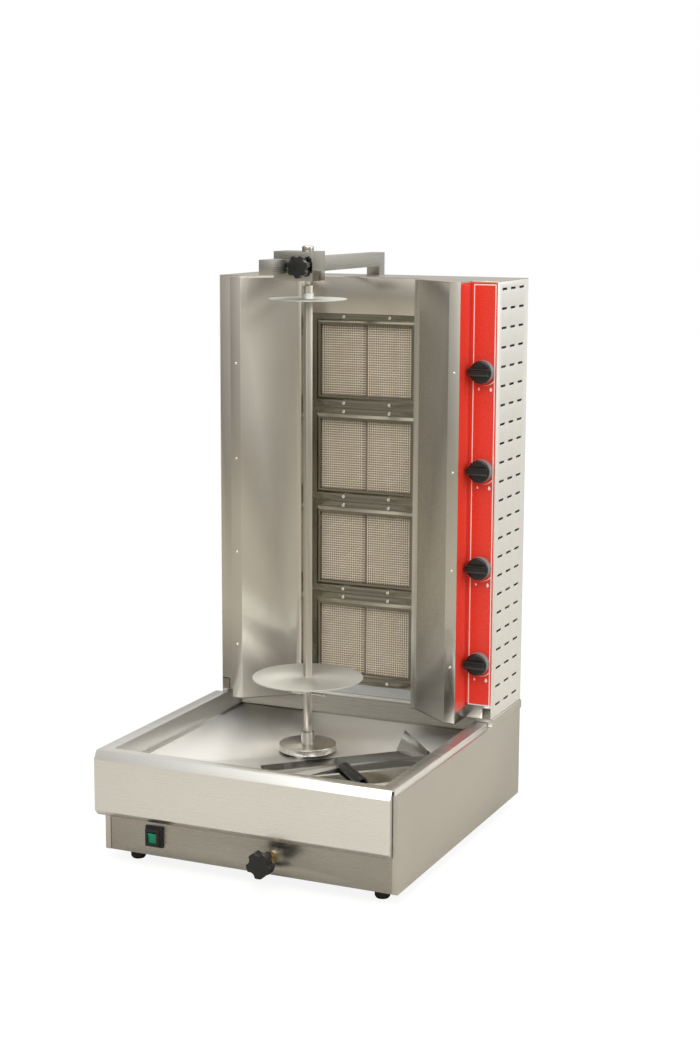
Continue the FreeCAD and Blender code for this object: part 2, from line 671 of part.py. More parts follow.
def make_cabinet(post_holes):
    for label, sign in (("side_panel_left", -1), ("side_panel_right", 1)):
        make_side(label, sign)
    for label, sign in (("wing_left", -1), ("wing_right", 1)):
        make_wing(label, sign)
    up = (FLOOR_Z, COVER_Z)
    along = (CABINET_Y, f"{CABINET_Y} + sheet")
    outer = f"({SIDE} - sheet)"
    inner_edge = f"({outer} - tab_width)"
    notches = []
    tabs = []
    for name, sign in (("left", -1), ("right", 1)):
        notch_x = sorted((f"{sign} * ({inner_edge} - tab_gap)", f"{sign} * ({outer} + 1)"), key=number)
        notch_y = (f"{CABINET_Y} - 1", f"{CABINET_Y} + sheet + 1")
        notches.append(
            box(f"notch_{name}", notch_x, notch_y, (f"{FLOOR_Z} - 1", f"{FLOOR_Z} + tab_height + tab_gap")),
        )
        tab_x = sorted((f"{sign} * {inner_edge}", f"{sign} * ({outer} - tab_gap / 4)"), key=number)
        tabs.append(box(f"tab_{name}", tab_x, along, (f"{FLOOR_Z} - sheet / 2", f"{FLOOR_Z} + tab_height")))
    left_blank = box("panel_left", (f"-{SIDE} + sheet", f"-{WING_X}"), along, up)
    piece("control_panel_left", cut("panel_left_cut", left_blank, notches[0]))
    blank = box("panel_right", (WING_X, f"{SIDE} - sheet"), along, up)
    label_y = (f"{CABINET_Y} - 0.5", CABINET_Y)
    label_up = (f"{FLOOR_Z} + 26", f"{COVER_Z} - 1")
    face = box("label_face", (f"{WING_X} + 0.6", f"{SIDE} - 1.5"), label_y, label_up)
    side_up = (f"{FLOOR_Z} + 19.6", f"{COVER_Z} - 1")
    strip = box(
        "label_strip", (WING_X, f"{WING_X} + 0.5"), (f"{WING_Y} + 1.5", f"{CABINET_Y} - 0.6"), side_up,
    )
    stems = []
    for count, height in enumerate(knob_heights()):
        span = (f"{CABINET_Y} - overrun", f"{CABINET_Y} + overrun")
        stems.append(rod(f"stem_hole_{count}", "y", "stem_radius + 1", (VALVE_X, height), span))
    holes = fuse("stem_holes", *stems)
    piece("control_panel_right", cut("panel_right_cut", blank, holes, notches[1]))
    piece("red_labels", cut("label_cut", face, holes), strip)

    rear = ("base_depth - sheet", "base_depth")
    back = box("back_blank", (f"-{SIDE} + sheet", f"{SIDE} - sheet"), rear, up)
    through = ("base_depth - overrun", "base_depth + overrun")
    tools = [
        post_holes,
        rod("inlet_hole", "y", "inlet_radius + 1", (VALVE_X, f"{FLOOR_Z} + inlet_height"), through),
    ]
    for count in range(8):
        low = f"{FLOOR_Z} + 330 + {count * 16}"
        tools.append(box(f"back_vent_{count}", ("60", "160"), through, (low, f"{low} + 5")))
    piece("cabinet_back", cut("cabinet_back_cut", back, *tools))
    piece("top_cover", sweep_plate("top_cover", "XY_Plane", plan_outline(HEADER_Y), COVER_Z, CABINET_TOP))
    floor_line = f"{TRAY_BACK} + sheet + 1"
    floor_plate = sweep_plate(
        "floor_plate", "XY_Plane", plan_outline(floor_line), PLINTH_TOP, FLOOR_Z, False,
    )
    piece("cabinet_floor", fuse("cabinet_floor_solid", floor_plate, *tabs))

    inner = ("-recess_half + air", "recess_half - air")
    drop = (f"{CABINET_TOP} - header_height", COVER_Z)
    header = box("header_face", inner, (HEADER_Y, f"{HEADER_Y} + sheet"), drop)
    lip_up = (f"{CABINET_TOP} - header_height", f"{CABINET_TOP} - header_height + sheet")
    lip = box("header_lip", inner, (HEADER_Y, f"{MESH_Y} - sheet - air"), lip_up)
    piece("header_panel", fuse("header_solid", header, lip))

    rivets = []
    for side_name, sign in (("left", -1), ("right", 1)):
        for count, height in enumerate(knob_heights()):
            x = f"{sign} * ({WING_X} - wing_flange / 2)"
            span = (f"{WING_Y} - 1.5", WING_Y)
            rivets.append(rod(f"rivet_{side_name}_{count}", "y", "2", (x, height), span, "3"))
    return rivets


# ---------------------------------------------------------------- burners
def make_burners():
    openings = []
    tiles = []
    meshes = []
    boxes = []
    screws = []
    box_x = "(recess_half - 2)"
    box_z = "(mesh_height / 2 + box_margin)"
    frame_x = "(recess_half - air)"
    frame_z = "(burner_pitch / 2 - air / 2)"
    border_x = "(mesh_width / 2 + rim_border)"
    border_z = "(mesh_height / 2 + rim_border)"
    flange_front = f"({MESH_Y} - sheet)"
    tile_x = "(tile_width + 1)"
    tile_z = "(tile_height / 2 + 0.5)"
    front = f"({MESH_Y} + 1.2)"
    for count in range(BURNERS):
        number_name = f"burner_{count + 1}"
        middle = f"({STACK_Z} + {count + 0.5} * burner_pitch)"

        def band(half):
            return (f"{middle} - {half}", f"{middle} + {half}")

        plate = box(f"{number_name}_plate", (f"-{frame_x}", frame_x), (flange_front, MESH_Y), band(frame_z))
        rim = doc.addObject("Part::Wedge", f"{number_name}_rim")
        slopes = {
            "Xmin": f"-{border_x} + rim_slope",
            "Xmax": f"{border_x} - rim_slope",
            "X2min": f"-{border_x}",
            "X2max": border_x,
            "Zmin": f"{middle} - {border_z} + rim_slope",
            "Zmax": f"{middle} + {border_z} - rim_slope",
            "Z2min": f"{middle} - {border_z}",
            "Z2max": f"{middle} + {border_z}",
            "Ymin": f"{flange_front} - rim_proud",
            "Ymax": flange_front,
        }
        for side_of_rim, value in slopes.items():
            rim.setExpression(side_of_rim, bound(value))
        window_x = ("-mesh_width / 2", "mesh_width / 2")
        window = box(
            f"{number_name}_window",
            window_x,
            (f"{MESH_Y} - 10", f"{MESH_Y} + 10"),
            band("mesh_height / 2"),
        )
        holes = []
        for x_sign in (-1, 1):
            for z_sign in (-1, 1):
                place_x = f"{x_sign} * burner_screw_x"
                place_z = f"{middle} + {z_sign} * ({border_z} + {box_z}) / 2"
                name = f"{number_name}_screw_{len(holes)}"
                spot = (place_x, place_z)
                holes.append(rod(f"{name}_hole", "y", "2.1", spot, (f"{MESH_Y} - 9", f"{MESH_Y} + 9")))
                head = rod(f"{name}_head", "y", "3", spot, (f"{flange_front} - 2.2", flange_front), "4")
                shank = rod(f"{name}_shank", "y", "2", spot, (f"{flange_front} - 1", f"{MESH_Y} + 8"))
                screws.append(fuse(name, head, shank))
        hole_set = fuse(f"{number_name}_holes", *holes)
        solid = fuse(f"{number_name}_frame_solid", plate, rim)
        piece(f"burner_frame_{count + 1}", cut(f"{number_name}_frame", solid, window, hole_set))

        guard_x = "(mesh_width / 2 + 2)"
        meshes.append(box(
            f"{number_name}_mesh",
            (f"-{guard_x}", guard_x),
            (MESH_Y, f"{MESH_Y} + 1"),
            band("(mesh_height / 2 + 2)"),
        ))
        for side_name, low, high in (
            ("left", "-tile_width - 0.3", "-0.3"), ("right", "0.3", "tile_width + 0.3"),
        ):
            deep = (f"{front} + tile_recess", f"{front} + tile_recess + tile_thick")
            tiles.append(box(f"{number_name}_tile_{side_name}", (low, high), deep, band("tile_height / 2")))

        shell = box(
            f"{number_name}_shell",
            (f"-{tile_x} - sheet", f"{tile_x} + sheet"),
            (front, f"{front} + box_depth"),
            band(f"({tile_z} + sheet)"),
        )
        flange_y = (front, f"{front} + sheet")
        flange = box(f"{number_name}_flange", (f"-{box_x}", box_x), flange_y, band(box_z))
        nest = box(
            f"{number_name}_nest",
            (f"-{tile_x}", tile_x),
            (f"{front} - 1", f"{front} + tile_recess + tile_thick + 0.2"),
            band(tile_z),
        )
        plenum_y = (f"{front} + tile_recess + tile_thick", f"{front} + box_depth - sheet")
        plenum = box(
            f"{number_name}_plenum", (f"-{tile_x} + 4", f"{tile_x} - 4"), plenum_y, band(f"({tile_z} - 4)"),
        )
        mouth = rod(
            f"{number_name}_mouth",
            "x",
            "venturi_radius - sheet",
            (f"{front} + box_depth / 2 + 4", middle),
            (f"{tile_x} - 10", f"{tile_x} + 10"),
        )
        solid = fuse(f"{number_name}_box_solid", shell, flange)
        boxes.append(cut(f"{number_name}_box", solid, nest, plenum, mouth, hole_set))
        reach = f"({tile_x} + sheet + 0.6)"
        openings.append(box(
            f"{number_name}_opening",
            (f"-{reach}", reach),
            (f"{PLATE_Y} - overrun", f"{PLATE_Y} + overrun"),
            band(f"({tile_z} + sheet + 0.6)"),
        ))
        openings.append(hole_set)
    piece("burner_boxes", *boxes)
    piece("burner_tiles", *tiles)
    piece("burner_meshes", *meshes)
    blank_x = ("-recess_half + air", "recess_half - air")
    blank = box("backplate_blank", blank_x, (PLATE_Y, f"{PLATE_Y} + sheet"), (FLOOR_Z, COVER_Z))
    piece("burner_backplate", cut("backplate_cut", blank, *openings))
    return screws


# ---------------------------------------------------------------- gas train
def make_gas_train():
    venturis = []
    pipes = []
    valves = []
    low_x = "(tile_width + 1 + sheet)"
    tube_y = f"({MESH_Y} + 1.2 + box_depth / 2 + 4)"
    half = "valve_size / 2"
    start = f"({CABINET_Y} + sheet)"
    end = f"({CABINET_Y} + valve_length)"
    for count, knob_z in enumerate(knob_heights()):
        middle = f"({STACK_Z} + {count + 0.5} * burner_pitch)"
        long = (low_x, f"{low_x} + 76")
        outer = rod(
            f"venturi_{count}_outer", "x", "venturi_radius", (tube_y, middle), long, "venturi_radius - 4",
        )
        inner_long = (f"{low_x} - 1", f"{low_x} + 70")
        inner = rod(
            f"venturi_{count}_inner",
            "x",
            "venturi_radius - sheet",
            (tube_y, middle),
            inner_long,
            "venturi_radius - 5.2",
        )
        venturis.append(cut(f"venturi_{count}", outer, inner))
        body = box(
            f"valve_{count}_body",
            (f"{VALVE_X} - {half}", f"{VALVE_X} + {half}"),
            (start, end),
            (f"{knob_z} - {half}", f"{knob_z} + {half}"),
        )
        bore = rod(
            f"valve_{count}_bore",
            "y",
            "stem_radius + running",
            (VALVE_X, knob_z),
            (f"{start} - 5", f"{start} + 26"),
        )
        valves.append(cut(f"valve_{count}", body, bore))
        pipe_x = (f"{low_x} + 76", f"{VALVE_X} - {half}")
        pipe = rod(f"pipe_{count}", "x", "pipe_radius", (f"{end} - 8", knob_z), pipe_x)
        hood_x = (f"{low_x} + 76", f"{low_x} + 86")
        hood_y = (f"{tube_y} - 11", f"{tube_y} + 11")
        hood = box(f"hood_{count}", hood_x, hood_y, (f"{middle} - 11", f"{middle} + 11"))
        pipes.append(fuse(f"injector_{count}", pipe, hood))
    piece("venturi_tubes", *venturis, *pipes)
    piece("gas_valves", *valves)
    size = "manifold_size"
    rail_x = (f"{VALVE_X} - {size} / 2", f"{VALVE_X} + {size} / 2")
    rail_up = (f"{FLOOR_Z} + inlet_height - 16", f"{knob_heights()[-1]} + 20")
    manifold = tube("manifold_tube", rail_x, (end, f"{end} + {size}"), rail_up, "tube_wall", "")
    piece("gas_manifold", manifold)
    spot = (VALVE_X, f"{FLOOR_Z} + inlet_height")
    pipe = rod("inlet_pipe", "y", "inlet_radius", spot, (f"{end} + {size}", "base_depth + inlet_length"))
    nut = rod("inlet_nut", "y", "inlet_radius + 5", spot, ("base_depth", "base_depth + 8"))
    way = rod(
        "inlet_bore",
        "y",
        "inlet_radius - 3",
        spot,
        (f"{end} + {size} + 4", "base_depth + inlet_length + 1"),
    )
    piece("gas_inlet", cut("gas_inlet_cut", fuse("inlet_solid", pipe, nut), way))


def make_control_knobs():
    """A knob: skirt, drum and a grip bar across it, moulded on its valve stem."""
    for count, height in enumerate(knob_heights()):
        label = f"control_knob_{count + 1}"
        points = (
            ("0", "-24"),
            ("stem_radius", "-24"),
            ("stem_radius", "1.5"),
            ("knob_radius", "1.5"),
            ("knob_radius", "5"),
            ("knob_radius - 2.5", "7"),
            ("knob_radius - 5", "knob_depth - 8"),
            ("0", "knob_depth - 8"),
        )
        body = turned(label, points, (VALVE_X, f"{CABINET_Y} - 0.5", height), FORWARD)
        bar = new_sketch(body, f"{label}_bar", "XY_Plane", "5")
        polygon(
            bar,
            (
                ("-knob_radius + 1", "-6"),
                ("knob_radius - 5", "-6"),
                ("knob_radius - 5", "6"),
                ("-knob_radius + 1", "6"),
            ),
        )
        body.Tip = pad(body, f"{label}_grip", bar, "knob_depth - 5")
        piece(label, body)


# ---------------------------------------------------------------- overhead arm and head block
def make_arm():
    across = (ARM_X_LOW, ARM_X_HIGH)
    post_y = ("base_depth", "base_depth + tube_size")
    bar = box("arm_bar", across, ("arm_front", "base_depth"), (ARM_LOW, ARM_HIGH))
    post = box("arm_post", across, post_y, (f"{ARM_HIGH} - post_length", ARM_HIGH))
    inner = (f"{ARM_X_LOW} + tube_wall", f"{ARM_X_HIGH} - tube_wall")
    bar_in = ("arm_front + tube_wall", "base_depth + tube_size - tube_wall")
    bar_hollow = box("arm_bar_hollow", inner, bar_in, (f"{ARM_LOW} + tube_wall", f"{ARM_HIGH} - tube_wall"))
    post_hollow = box(
        "arm_post_hollow",
        inner,
        ("base_depth + tube_wall", "base_depth + tube_size - tube_wall"),
        (f"{ARM_HIGH} - post_length + tube_wall", f"{ARM_HIGH} - tube_wall"),
    )
    holes = []
    bolts = []
    middle_x = f"({ARM_X_LOW} + tube_size / 2)"
    for count, drop in enumerate(("70", "post_length - 30")):
        spot = (middle_x, f"{ARM_HIGH} - ({drop})")
        through = ("base_depth - overrun", f"{post_y[1]} + overrun")
        holes.append(rod(f"post_hole_{count}", "y", "bolt_radius + air / 2", spot, through))
        shank = rod(f"post_bolt_{count}", "y", "bolt_radius", spot, ("base_depth - 9", post_y[1]))
        head = rod(
            f"post_bolt_head_{count}",
            "y",
            "bolt_radius * 1.6",
            spot,
            (post_y[1], f"{post_y[1]} + bolt_head"),
        )
        bolts.append(fuse(f"post_screw_{count}", shank, head))
    hole_set = fuse("post_holes", *holes)
    piece("overhead_arm", cut("arm_cut", fuse("arm_solid", bar, post), bar_hollow, post_hollow, hole_set))
    return hole_set, bolts


def make_head():
    across = (f"{SPIT_X} + block_right - block_width", f"{SPIT_X} + block_right")
    along = (BLOCK_Y_LOW, BLOCK_Y_HIGH)
    block = box("head_blank", across, along, (BLOCK_LOW, BLOCK_HIGH))
    loose = "0.5"
    tunnel = box(
        "head_tunnel",
        (f"{ARM_X_LOW} - {loose}", f"{ARM_X_HIGH} + {loose}"),
        (f"{BLOCK_Y_LOW} - overrun", f"{BLOCK_Y_HIGH} + overrun"),
        (f"{ARM_LOW} - {loose}", f"{ARM_HIGH} + {loose}"),
    )
    bore = rod(
        "head_bore",
        "z",
        "top_pin_radius + running",
        (SPIT_X, SPIT_Y),
        (f"{BLOCK_LOW} - overrun", f"{BLOCK_HIGH} + overrun"),
    )
    stud_y = (f"{BLOCK_Y_LOW} - 5", f"{SPIT_Y} - top_pin_radius - 2")
    knob_x = "(-spit_side + 4)"
    tapped = rod("head_tapped", "y", "3 + running", (knob_x, BLOCK_MIDDLE), stud_y)
    piece("head_block", cut("head_block_cut", block, tunnel, bore, tapped))

    at = (knob_x, f"{BLOCK_Y_LOW} - head_knob_reach + 12", BLOCK_MIDDLE)
    knob = lobed_knob("head_knob", at, "head_knob_radius", "12", 7, "6")
    piece("head_knob", knob)
    # The knob's neck ends 4.2 mm behind its disc; the stud starts there and ends short of the pin.
    span = (f"{BLOCK_Y_LOW} - head_knob_reach + 16.2", f"{SPIT_Y} - top_pin_radius - 3")
    piece("head_stud", rod("head_stud_bar", "y", "3", (knob_x, BLOCK_MIDDLE), span))

    tip = f"{BLOCK_LOW} - top_pin_reach"
    points = (
        ("0", "0"),
        ("top_pin_radius - 2.5", "0"),
        ("top_pin_radius - 2.5", "top_pin_reach - 6"),
        ("top_pin_radius", "top_pin_reach - 6"),
        ("top_pin_radius", "top_pin_reach + block_height"),
        ("top_pin_head", "top_pin_reach + block_height"),
        ("top_pin_head", "top_pin_reach + block_height + top_pin_rise - 1.5"),
        ("top_pin_head - 1.5", "top_pin_reach + block_height + top_pin_rise"),
        ("0", "top_pin_reach + block_height + top_pin_rise"),
    )
    piece("top_pin", turned("top_pin", points, (SPIT_X, SPIT_Y, tip)))


# ---------------------------------------------------------------- spit, turntable, meat discs
def make_spit():
    diagonal = "(spit_square * 0.7071)"
    foot = f"({TABLE_HIGH} + 2)"
    head = f"({BLOCK_LOW} - 8)"
    body = new_body("spit_bar", (SPIT_X, SPIT_Y, foot))
    section = new_sketch(body, "spit_section", "XY_Plane")
    polygon(section, ((diagonal, "0"), ("0", diagonal), (f"-{diagonal}", "0"), ("0", f"-{diagonal}")))
    pad(body, "spit_pad", section, f"{head} - {foot}")
    socket = new_sketch(body, "spit_socket", "XY_Plane", f"{head} - {foot} - 26")
    circle(socket, "top_pin_radius - 2.5 + running")
    hollow = body.newObject("PartDesign::Pocket", "spit_socket_cut")
    hollow.Profile = socket
    hollow.Length = 40
    hollow.Reversed = True
    pin_z = f"{TRAY_FLOOR} + lower_disc_height - lower_hub - cross_pin_radius - 1 - {foot}"
    hole = new_sketch(body, "spit_pin_hole", "YZ_Plane", "0")
    circle(hole, "cross_pin_radius + running", "0", pin_z)
    body.Tip = pocket_through(body, "spit_pin_cut", hole)
    piece("spit_bar", body)

    table_points = (
        ("0", "0"),
        ("table_radius - 1", "0"),
        ("table_radius", "1"),
        ("table_radius", "table_thick - 1"),
        ("table_radius - 1", "table_thick"),
        ("socket_radius", "table_thick"),
        ("socket_radius", "table_thick + socket_height"),
        ("0", "table_thick + socket_height"),
    )
    table = turned("turntable", table_points, (SPIT_X, SPIT_Y, TABLE_LOW))
    seat = new_sketch(table, "turntable_seat", "XY_Plane", "table_thick + 2")
    wide = f"({diagonal} + 0.15)"
    polygon(seat, ((wide, "0"), ("0", wide), (f"-{wide}", "0"), ("0", f"-{wide}")))
    recess = table.newObject("PartDesign::Pocket", "turntable_seat_cut")
    recess.Profile = seat
    recess.Length = 60
    recess.Reversed = True
    table.Tip = recess
    piece("turntable", table)

    shaft_low = f"({GEARBOX_Z} + 3)"
    shaft_points = (
        ("0", "0"),
        ("shaft_radius", "0"),
        ("shaft_radius", f"{TABLE_LOW} - {shaft_low}"),
        ("0", f"{TABLE_LOW} - {shaft_low}"),
    )
    piece("drive_shaft", turned("drive_shaft", shaft_points, (SPIT_X, SPIT_Y, shaft_low)))

    for label, radius, height, hub_long, hub_down in (
        ("lower_disc", "lower_disc_radius", f"({TRAY_FLOOR} + lower_disc_height)", "lower_hub", True),
        ("upper_disc", "upper_disc_radius", f"({CABINET_TOP} - upper_disc_drop)", "hub_height", False),
    ):
        body = new_body(label, (SPIT_X, SPIT_Y, height))
        plate = new_sketch(body, f"{label}_plate", "XY_Plane")
        circle(plate, radius)
        pad(body, f"{label}_plate_pad", plate, "disc_thick")
        start = "0" if hub_down else "disc_thick"
        hub = new_sketch(body, f"{label}_hub", "XY_Plane", start)
        circle(hub, "hub_radius")
        boss = pad(body, f"{label}_hub_pad", hub, hub_long)
        boss.Reversed = hub_down
        bore = new_sketch(body, f"{label}_bore", "XY_Plane")
        gap = f"({diagonal} + 0.1)"
        polygon(bore, ((gap, "0"), ("0", gap), (f"-{gap}", "0"), ("0", f"-{gap}")))
        body.Tip = pocket_through(body, f"{label}_bore_cut", bore)
        piece(label, body)
    pin_height = f"({TRAY_FLOOR} + lower_disc_height - lower_hub - cross_pin_radius - 1)"
    half = "cross_pin_length / 2"
    shank = rod(
        "cross_pin_shank",
        "x",
        "cross_pin_radius",
        (SPIT_Y, pin_height),
        (f"{SPIT_X} - {half}", f"{SPIT_X} + {half}"),
    )
    ball = doc.addObject("Part::Sphere", "cross_pin_ball")
    ball.setExpression("Radius", bound("cross_pin_radius + 1.5"))
    for axis, value in zip("xyz", (f"{SPIT_X} + {half}", SPIT_Y, pin_height)):
        ball.setExpression(f"Placement.Base.{axis}", bound(value))
    piece("cross_pin", fuse("cross_pin_solid", shank, ball))


# ---------------------------------------------------------------- carriage, motor, adjusting rod
def make_drive():
    rails = []
    brackets = []
    rail_low = f"({SPIT_Y} - carriage_length / 2 - carriage_forward - 20)"
    rail_high = f"({SPIT_Y} + carriage_length / 2 + carriage_back + 20)"
    for name, sign in (("left", -1), ("right", 1)):
        x = f"({SPIT_X} + {sign} * rail_spread)"
        rails.append(rod(f"rail_{name}", "y", "rail_radius", (x, "rail_height"), (rail_low, rail_high)))
    for name, low in (("front", f"{rail_low} - 3"), ("back", rail_high)):
        wide = (f"{SPIT_X} - rail_spread - 16", f"{SPIT_X} + rail_spread + 16")
        wall = box(
            f"bracket_{name}_wall", wide, (low, f"{low} + 3"), ("sheet", "rail_height + rail_radius + 6"),
        )
        foot_y = (f"{low} - 20", low) if name == "front" else (f"{low} + 3", f"{low} + 23")
        ledge = box(f"bracket_{name}_foot", wide, foot_y, ("sheet", "sheet + 3"))
        solid = fuse(f"bracket_{name}_solid", wall, ledge)
        window_x = ("rod_side - 9", "rod_side + 9")
        window = box(
            f"bracket_{name}_window",
            window_x,
            (f"{low} - 30", f"{low} + 30"),
            ("rod_height - 9", "rod_height + 9"),
        )
        brackets.append(cut(f"bracket_{name}", solid, window))
    piece("slide_rails", *rails, *brackets)

    along = (f"{SPIT_Y} - carriage_length / 2", f"{SPIT_Y} + carriage_length / 2")
    across = (f"{SPIT_X} - carriage_width / 2", f"{SPIT_X} + carriage_width / 2")
    plate = box("carriage_blank", across, along, (PLATE_Z, f"{PLATE_Z} + carriage_thick"))
    motor_y = f"({SPIT_Y} + 12)"
    room = rod(
        "carriage_motor_hole",
        "z",
        "motor_radius + air",
        (SPIT_X, motor_y),
        (f"{PLATE_Z} - 5", f"{PLATE_Z} + 10"),
    )
    lug_y = (f"{SPIT_Y} - carriage_length / 2", f"{SPIT_Y} - carriage_length / 2 + 4")
    lug = box("carriage_lug", ("rod_side - 8", "rod_side + 8"), lug_y, ("rod_height - 9", f"{PLATE_Z} + 1"))
    eye = rod(
        "carriage_eye",
        "y",
        "rod_radius + running",
        ("rod_side", "rod_height"),
        (f"{lug_y[0]} - overrun", f"{lug_y[1]} + overrun"),
    )
    carriage = cut("carriage_plate_cut", fuse("carriage_solid", plate, lug), room, eye)
    bushes = []
    for x_name, sign in (("left", -1), ("right", 1)):
        x = f"({SPIT_X} + {sign} * rail_spread)"
        for y_name, low in (("front", along[0]), ("back", f"{along[1]} - 26")):
            name = f"bush_{x_name}_{y_name}"
            x_span = (f"{x} - 11", f"{x} + 11")
            if y_name == "front":
                y_span = (f"{low} + 5", f"{low} + 31")
            else:
                y_span = (low, f"{low} + 26")
            block = box(f"{name}_block", x_span, y_span, ("rail_height - 11", PLATE_Z))
            bore = rod(
                f"{name}_bore",
                "y",
                "rail_radius + running",
                (x, "rail_height"),
                (f"{y_span[0]} - overrun", f"{y_span[1]} + overrun"),
            )
            bushes.append(cut(name, block, bore))
    piece("carriage_plate", carriage, *bushes)

    case = box(
        "gearbox_case",
        (f"{SPIT_X} - 42", f"{SPIT_X} + 42"),
        (f"{SPIT_Y} - 34", f"{SPIT_Y} + 50"),
        (GEARBOX_Z, f"{GEARBOX_Z} + gearbox_height"),
    )
    well = rod(
        "gearbox_well",
        "z",
        "shaft_radius + 5",
        (SPIT_X, SPIT_Y),
        (f"{GEARBOX_Z} + 2.5", f"{GEARBOX_Z} + gearbox_height + 5"),
    )
    piece("gearbox", cut("gearbox_cut", case, well))
    ring = rod(
        "bearing_outer",
        "z",
        "shaft_radius + 5 - 0.02",
        (SPIT_X, SPIT_Y),
        (f"{GEARBOX_Z} + gearbox_height - 10", f"{GEARBOX_Z} + gearbox_height"),
    )
    ring_bore = rod(
        "bearing_bore",
        "z",
        "shaft_radius + running",
        (SPIT_X, SPIT_Y),
        (f"{GEARBOX_Z}", f"{GEARBOX_Z} + gearbox_height + 5"),
    )
    piece("shaft_bearing", cut("bearing_cut", ring, ring_bore))
    piece(
        "gear_motor",
        rod(
            "motor_can", "z", "motor_radius", (SPIT_X, motor_y), (f"{GEARBOX_Z} - motor_height", GEARBOX_Z),
        ),
    )

    at = ("rod_side", "slide_knob_thick - slide_knob_reach", "rod_height")
    piece("slide_knob", lobed_knob("slide_knob", at, "slide_knob_radius", "slide_knob_thick", 5, "9"))
    neck_end = "slide_knob_thick * 1.35 - slide_knob_reach"
    rod_span = (neck_end, f"{SPIT_Y} - carriage_length / 2 + 12")
    piece("slide_rod", rod("slide_rod_bar", "y", "rod_radius", ("rod_side", "rod_height"), rod_span))


# ---------------------------------------------------------------- mains switch and cable gland
def make_electrics():
    x, z = "(-switch_side)", "switch_height"
    wide, tall = "(switch_width / 2)", "(switch_tall / 2)"
    plate = box(
        "bezel_plate",
        (f"{x} - {wide}", f"{x} + {wide}"),
        ("sheet - 3", "sheet"),
        (f"{z} - {tall}", f"{z} + {tall}"),
    )
    boot_x = (f"{x} - {wide} + 4", f"{x} + {wide} - 4")
    boot_z = (f"{z} - {tall} + 3.5", f"{z} + {tall} - 3.5")
    boot = box("bezel_boot", boot_x, ("-switch_proud", "sheet - 3"), boot_z)
    body = box("switch_body", (f"{x} - {wide} + 4", f"{x} + {wide} - 4"), ("sheet", "30"), boot_z)
    well_x = (f"{x} - {wide} + 8", f"{x} + {wide} - 8")
    well_z = (f"{z} - {tall} + 7.5", f"{z} + {tall} - 7.5")
    well = box("switch_well", well_x, ("-30", "12"), well_z)
    seat = rod(
        "switch_pivot_seat",
        "x",
        "rocker_pivot + running",
        ("0", z),
        (f"{x} - {wide} + 5", f"{x} + {wide} - 5"),
    )
    piece("switch_case", cut("switch_case_cut", fuse("switch_solid", plate, boot, body), well, seat))
    # The rocker turns about a horizontal axis in the middle of its height; its face is a shallow V.
    key_x = ("-switch_width / 2 + 8.4", "switch_width / 2 - 8.4")
    half = f"({tall} - 9)"
    key = new_body("switch_rocker", (x, "0", z), FreeCAD.Rotation(FreeCAD.Vector(1, 0, 0), 8))
    face = new_sketch(key, "rocker_face", "YZ_Plane", key_x[0])
    polygon(
        face,
        (
            ("6", f"-{half}"),
            ("-switch_proud + 1.5", f"-{half}"),
            ("-switch_proud + 3", "0"),
            ("-switch_proud + 1.5", half),
            ("6", half),
        ),
    )
    pad(key, "rocker_pad", face, f"({key_x[1]}) - ({key_x[0]})")
    pivot = new_sketch(key, "rocker_pivot_ring", "YZ_Plane", f"{key_x[0]} - 3")
    circle(pivot, "rocker_pivot")
    key.Tip = pad(key, "rocker_pivot_pad", pivot, f"({key_x[1]}) - ({key_x[0]}) + 6")
    piece("switch_rocker", key)

    spot = (f"-{SIDE} + 80", "60")
    barrel = rod("gland_barrel", "y", "gland_radius", spot, ("base_depth - 12", "base_depth + 20"))
    nut = rod("gland_nut", "y", "gland_radius + 3", spot, ("base_depth", "base_depth + 8"))
    bore = rod("gland_way", "y", "gland_bore", spot, ("base_depth - 20", "base_depth + 30"))
    piece("cable_gland", cut("cable_gland_cut", fuse("gland_solid", barrel, nut), bore))


# ---------------------------------------------------------------- meat scoop lying in the tray
SCOOP_AT = ("5", "57.5", f"{TRAY_FLOOR} + sheet")
SCOOP_TURN = FreeCAD.Rotation(FreeCAD.Vector(0, 0, 1), 42.7)


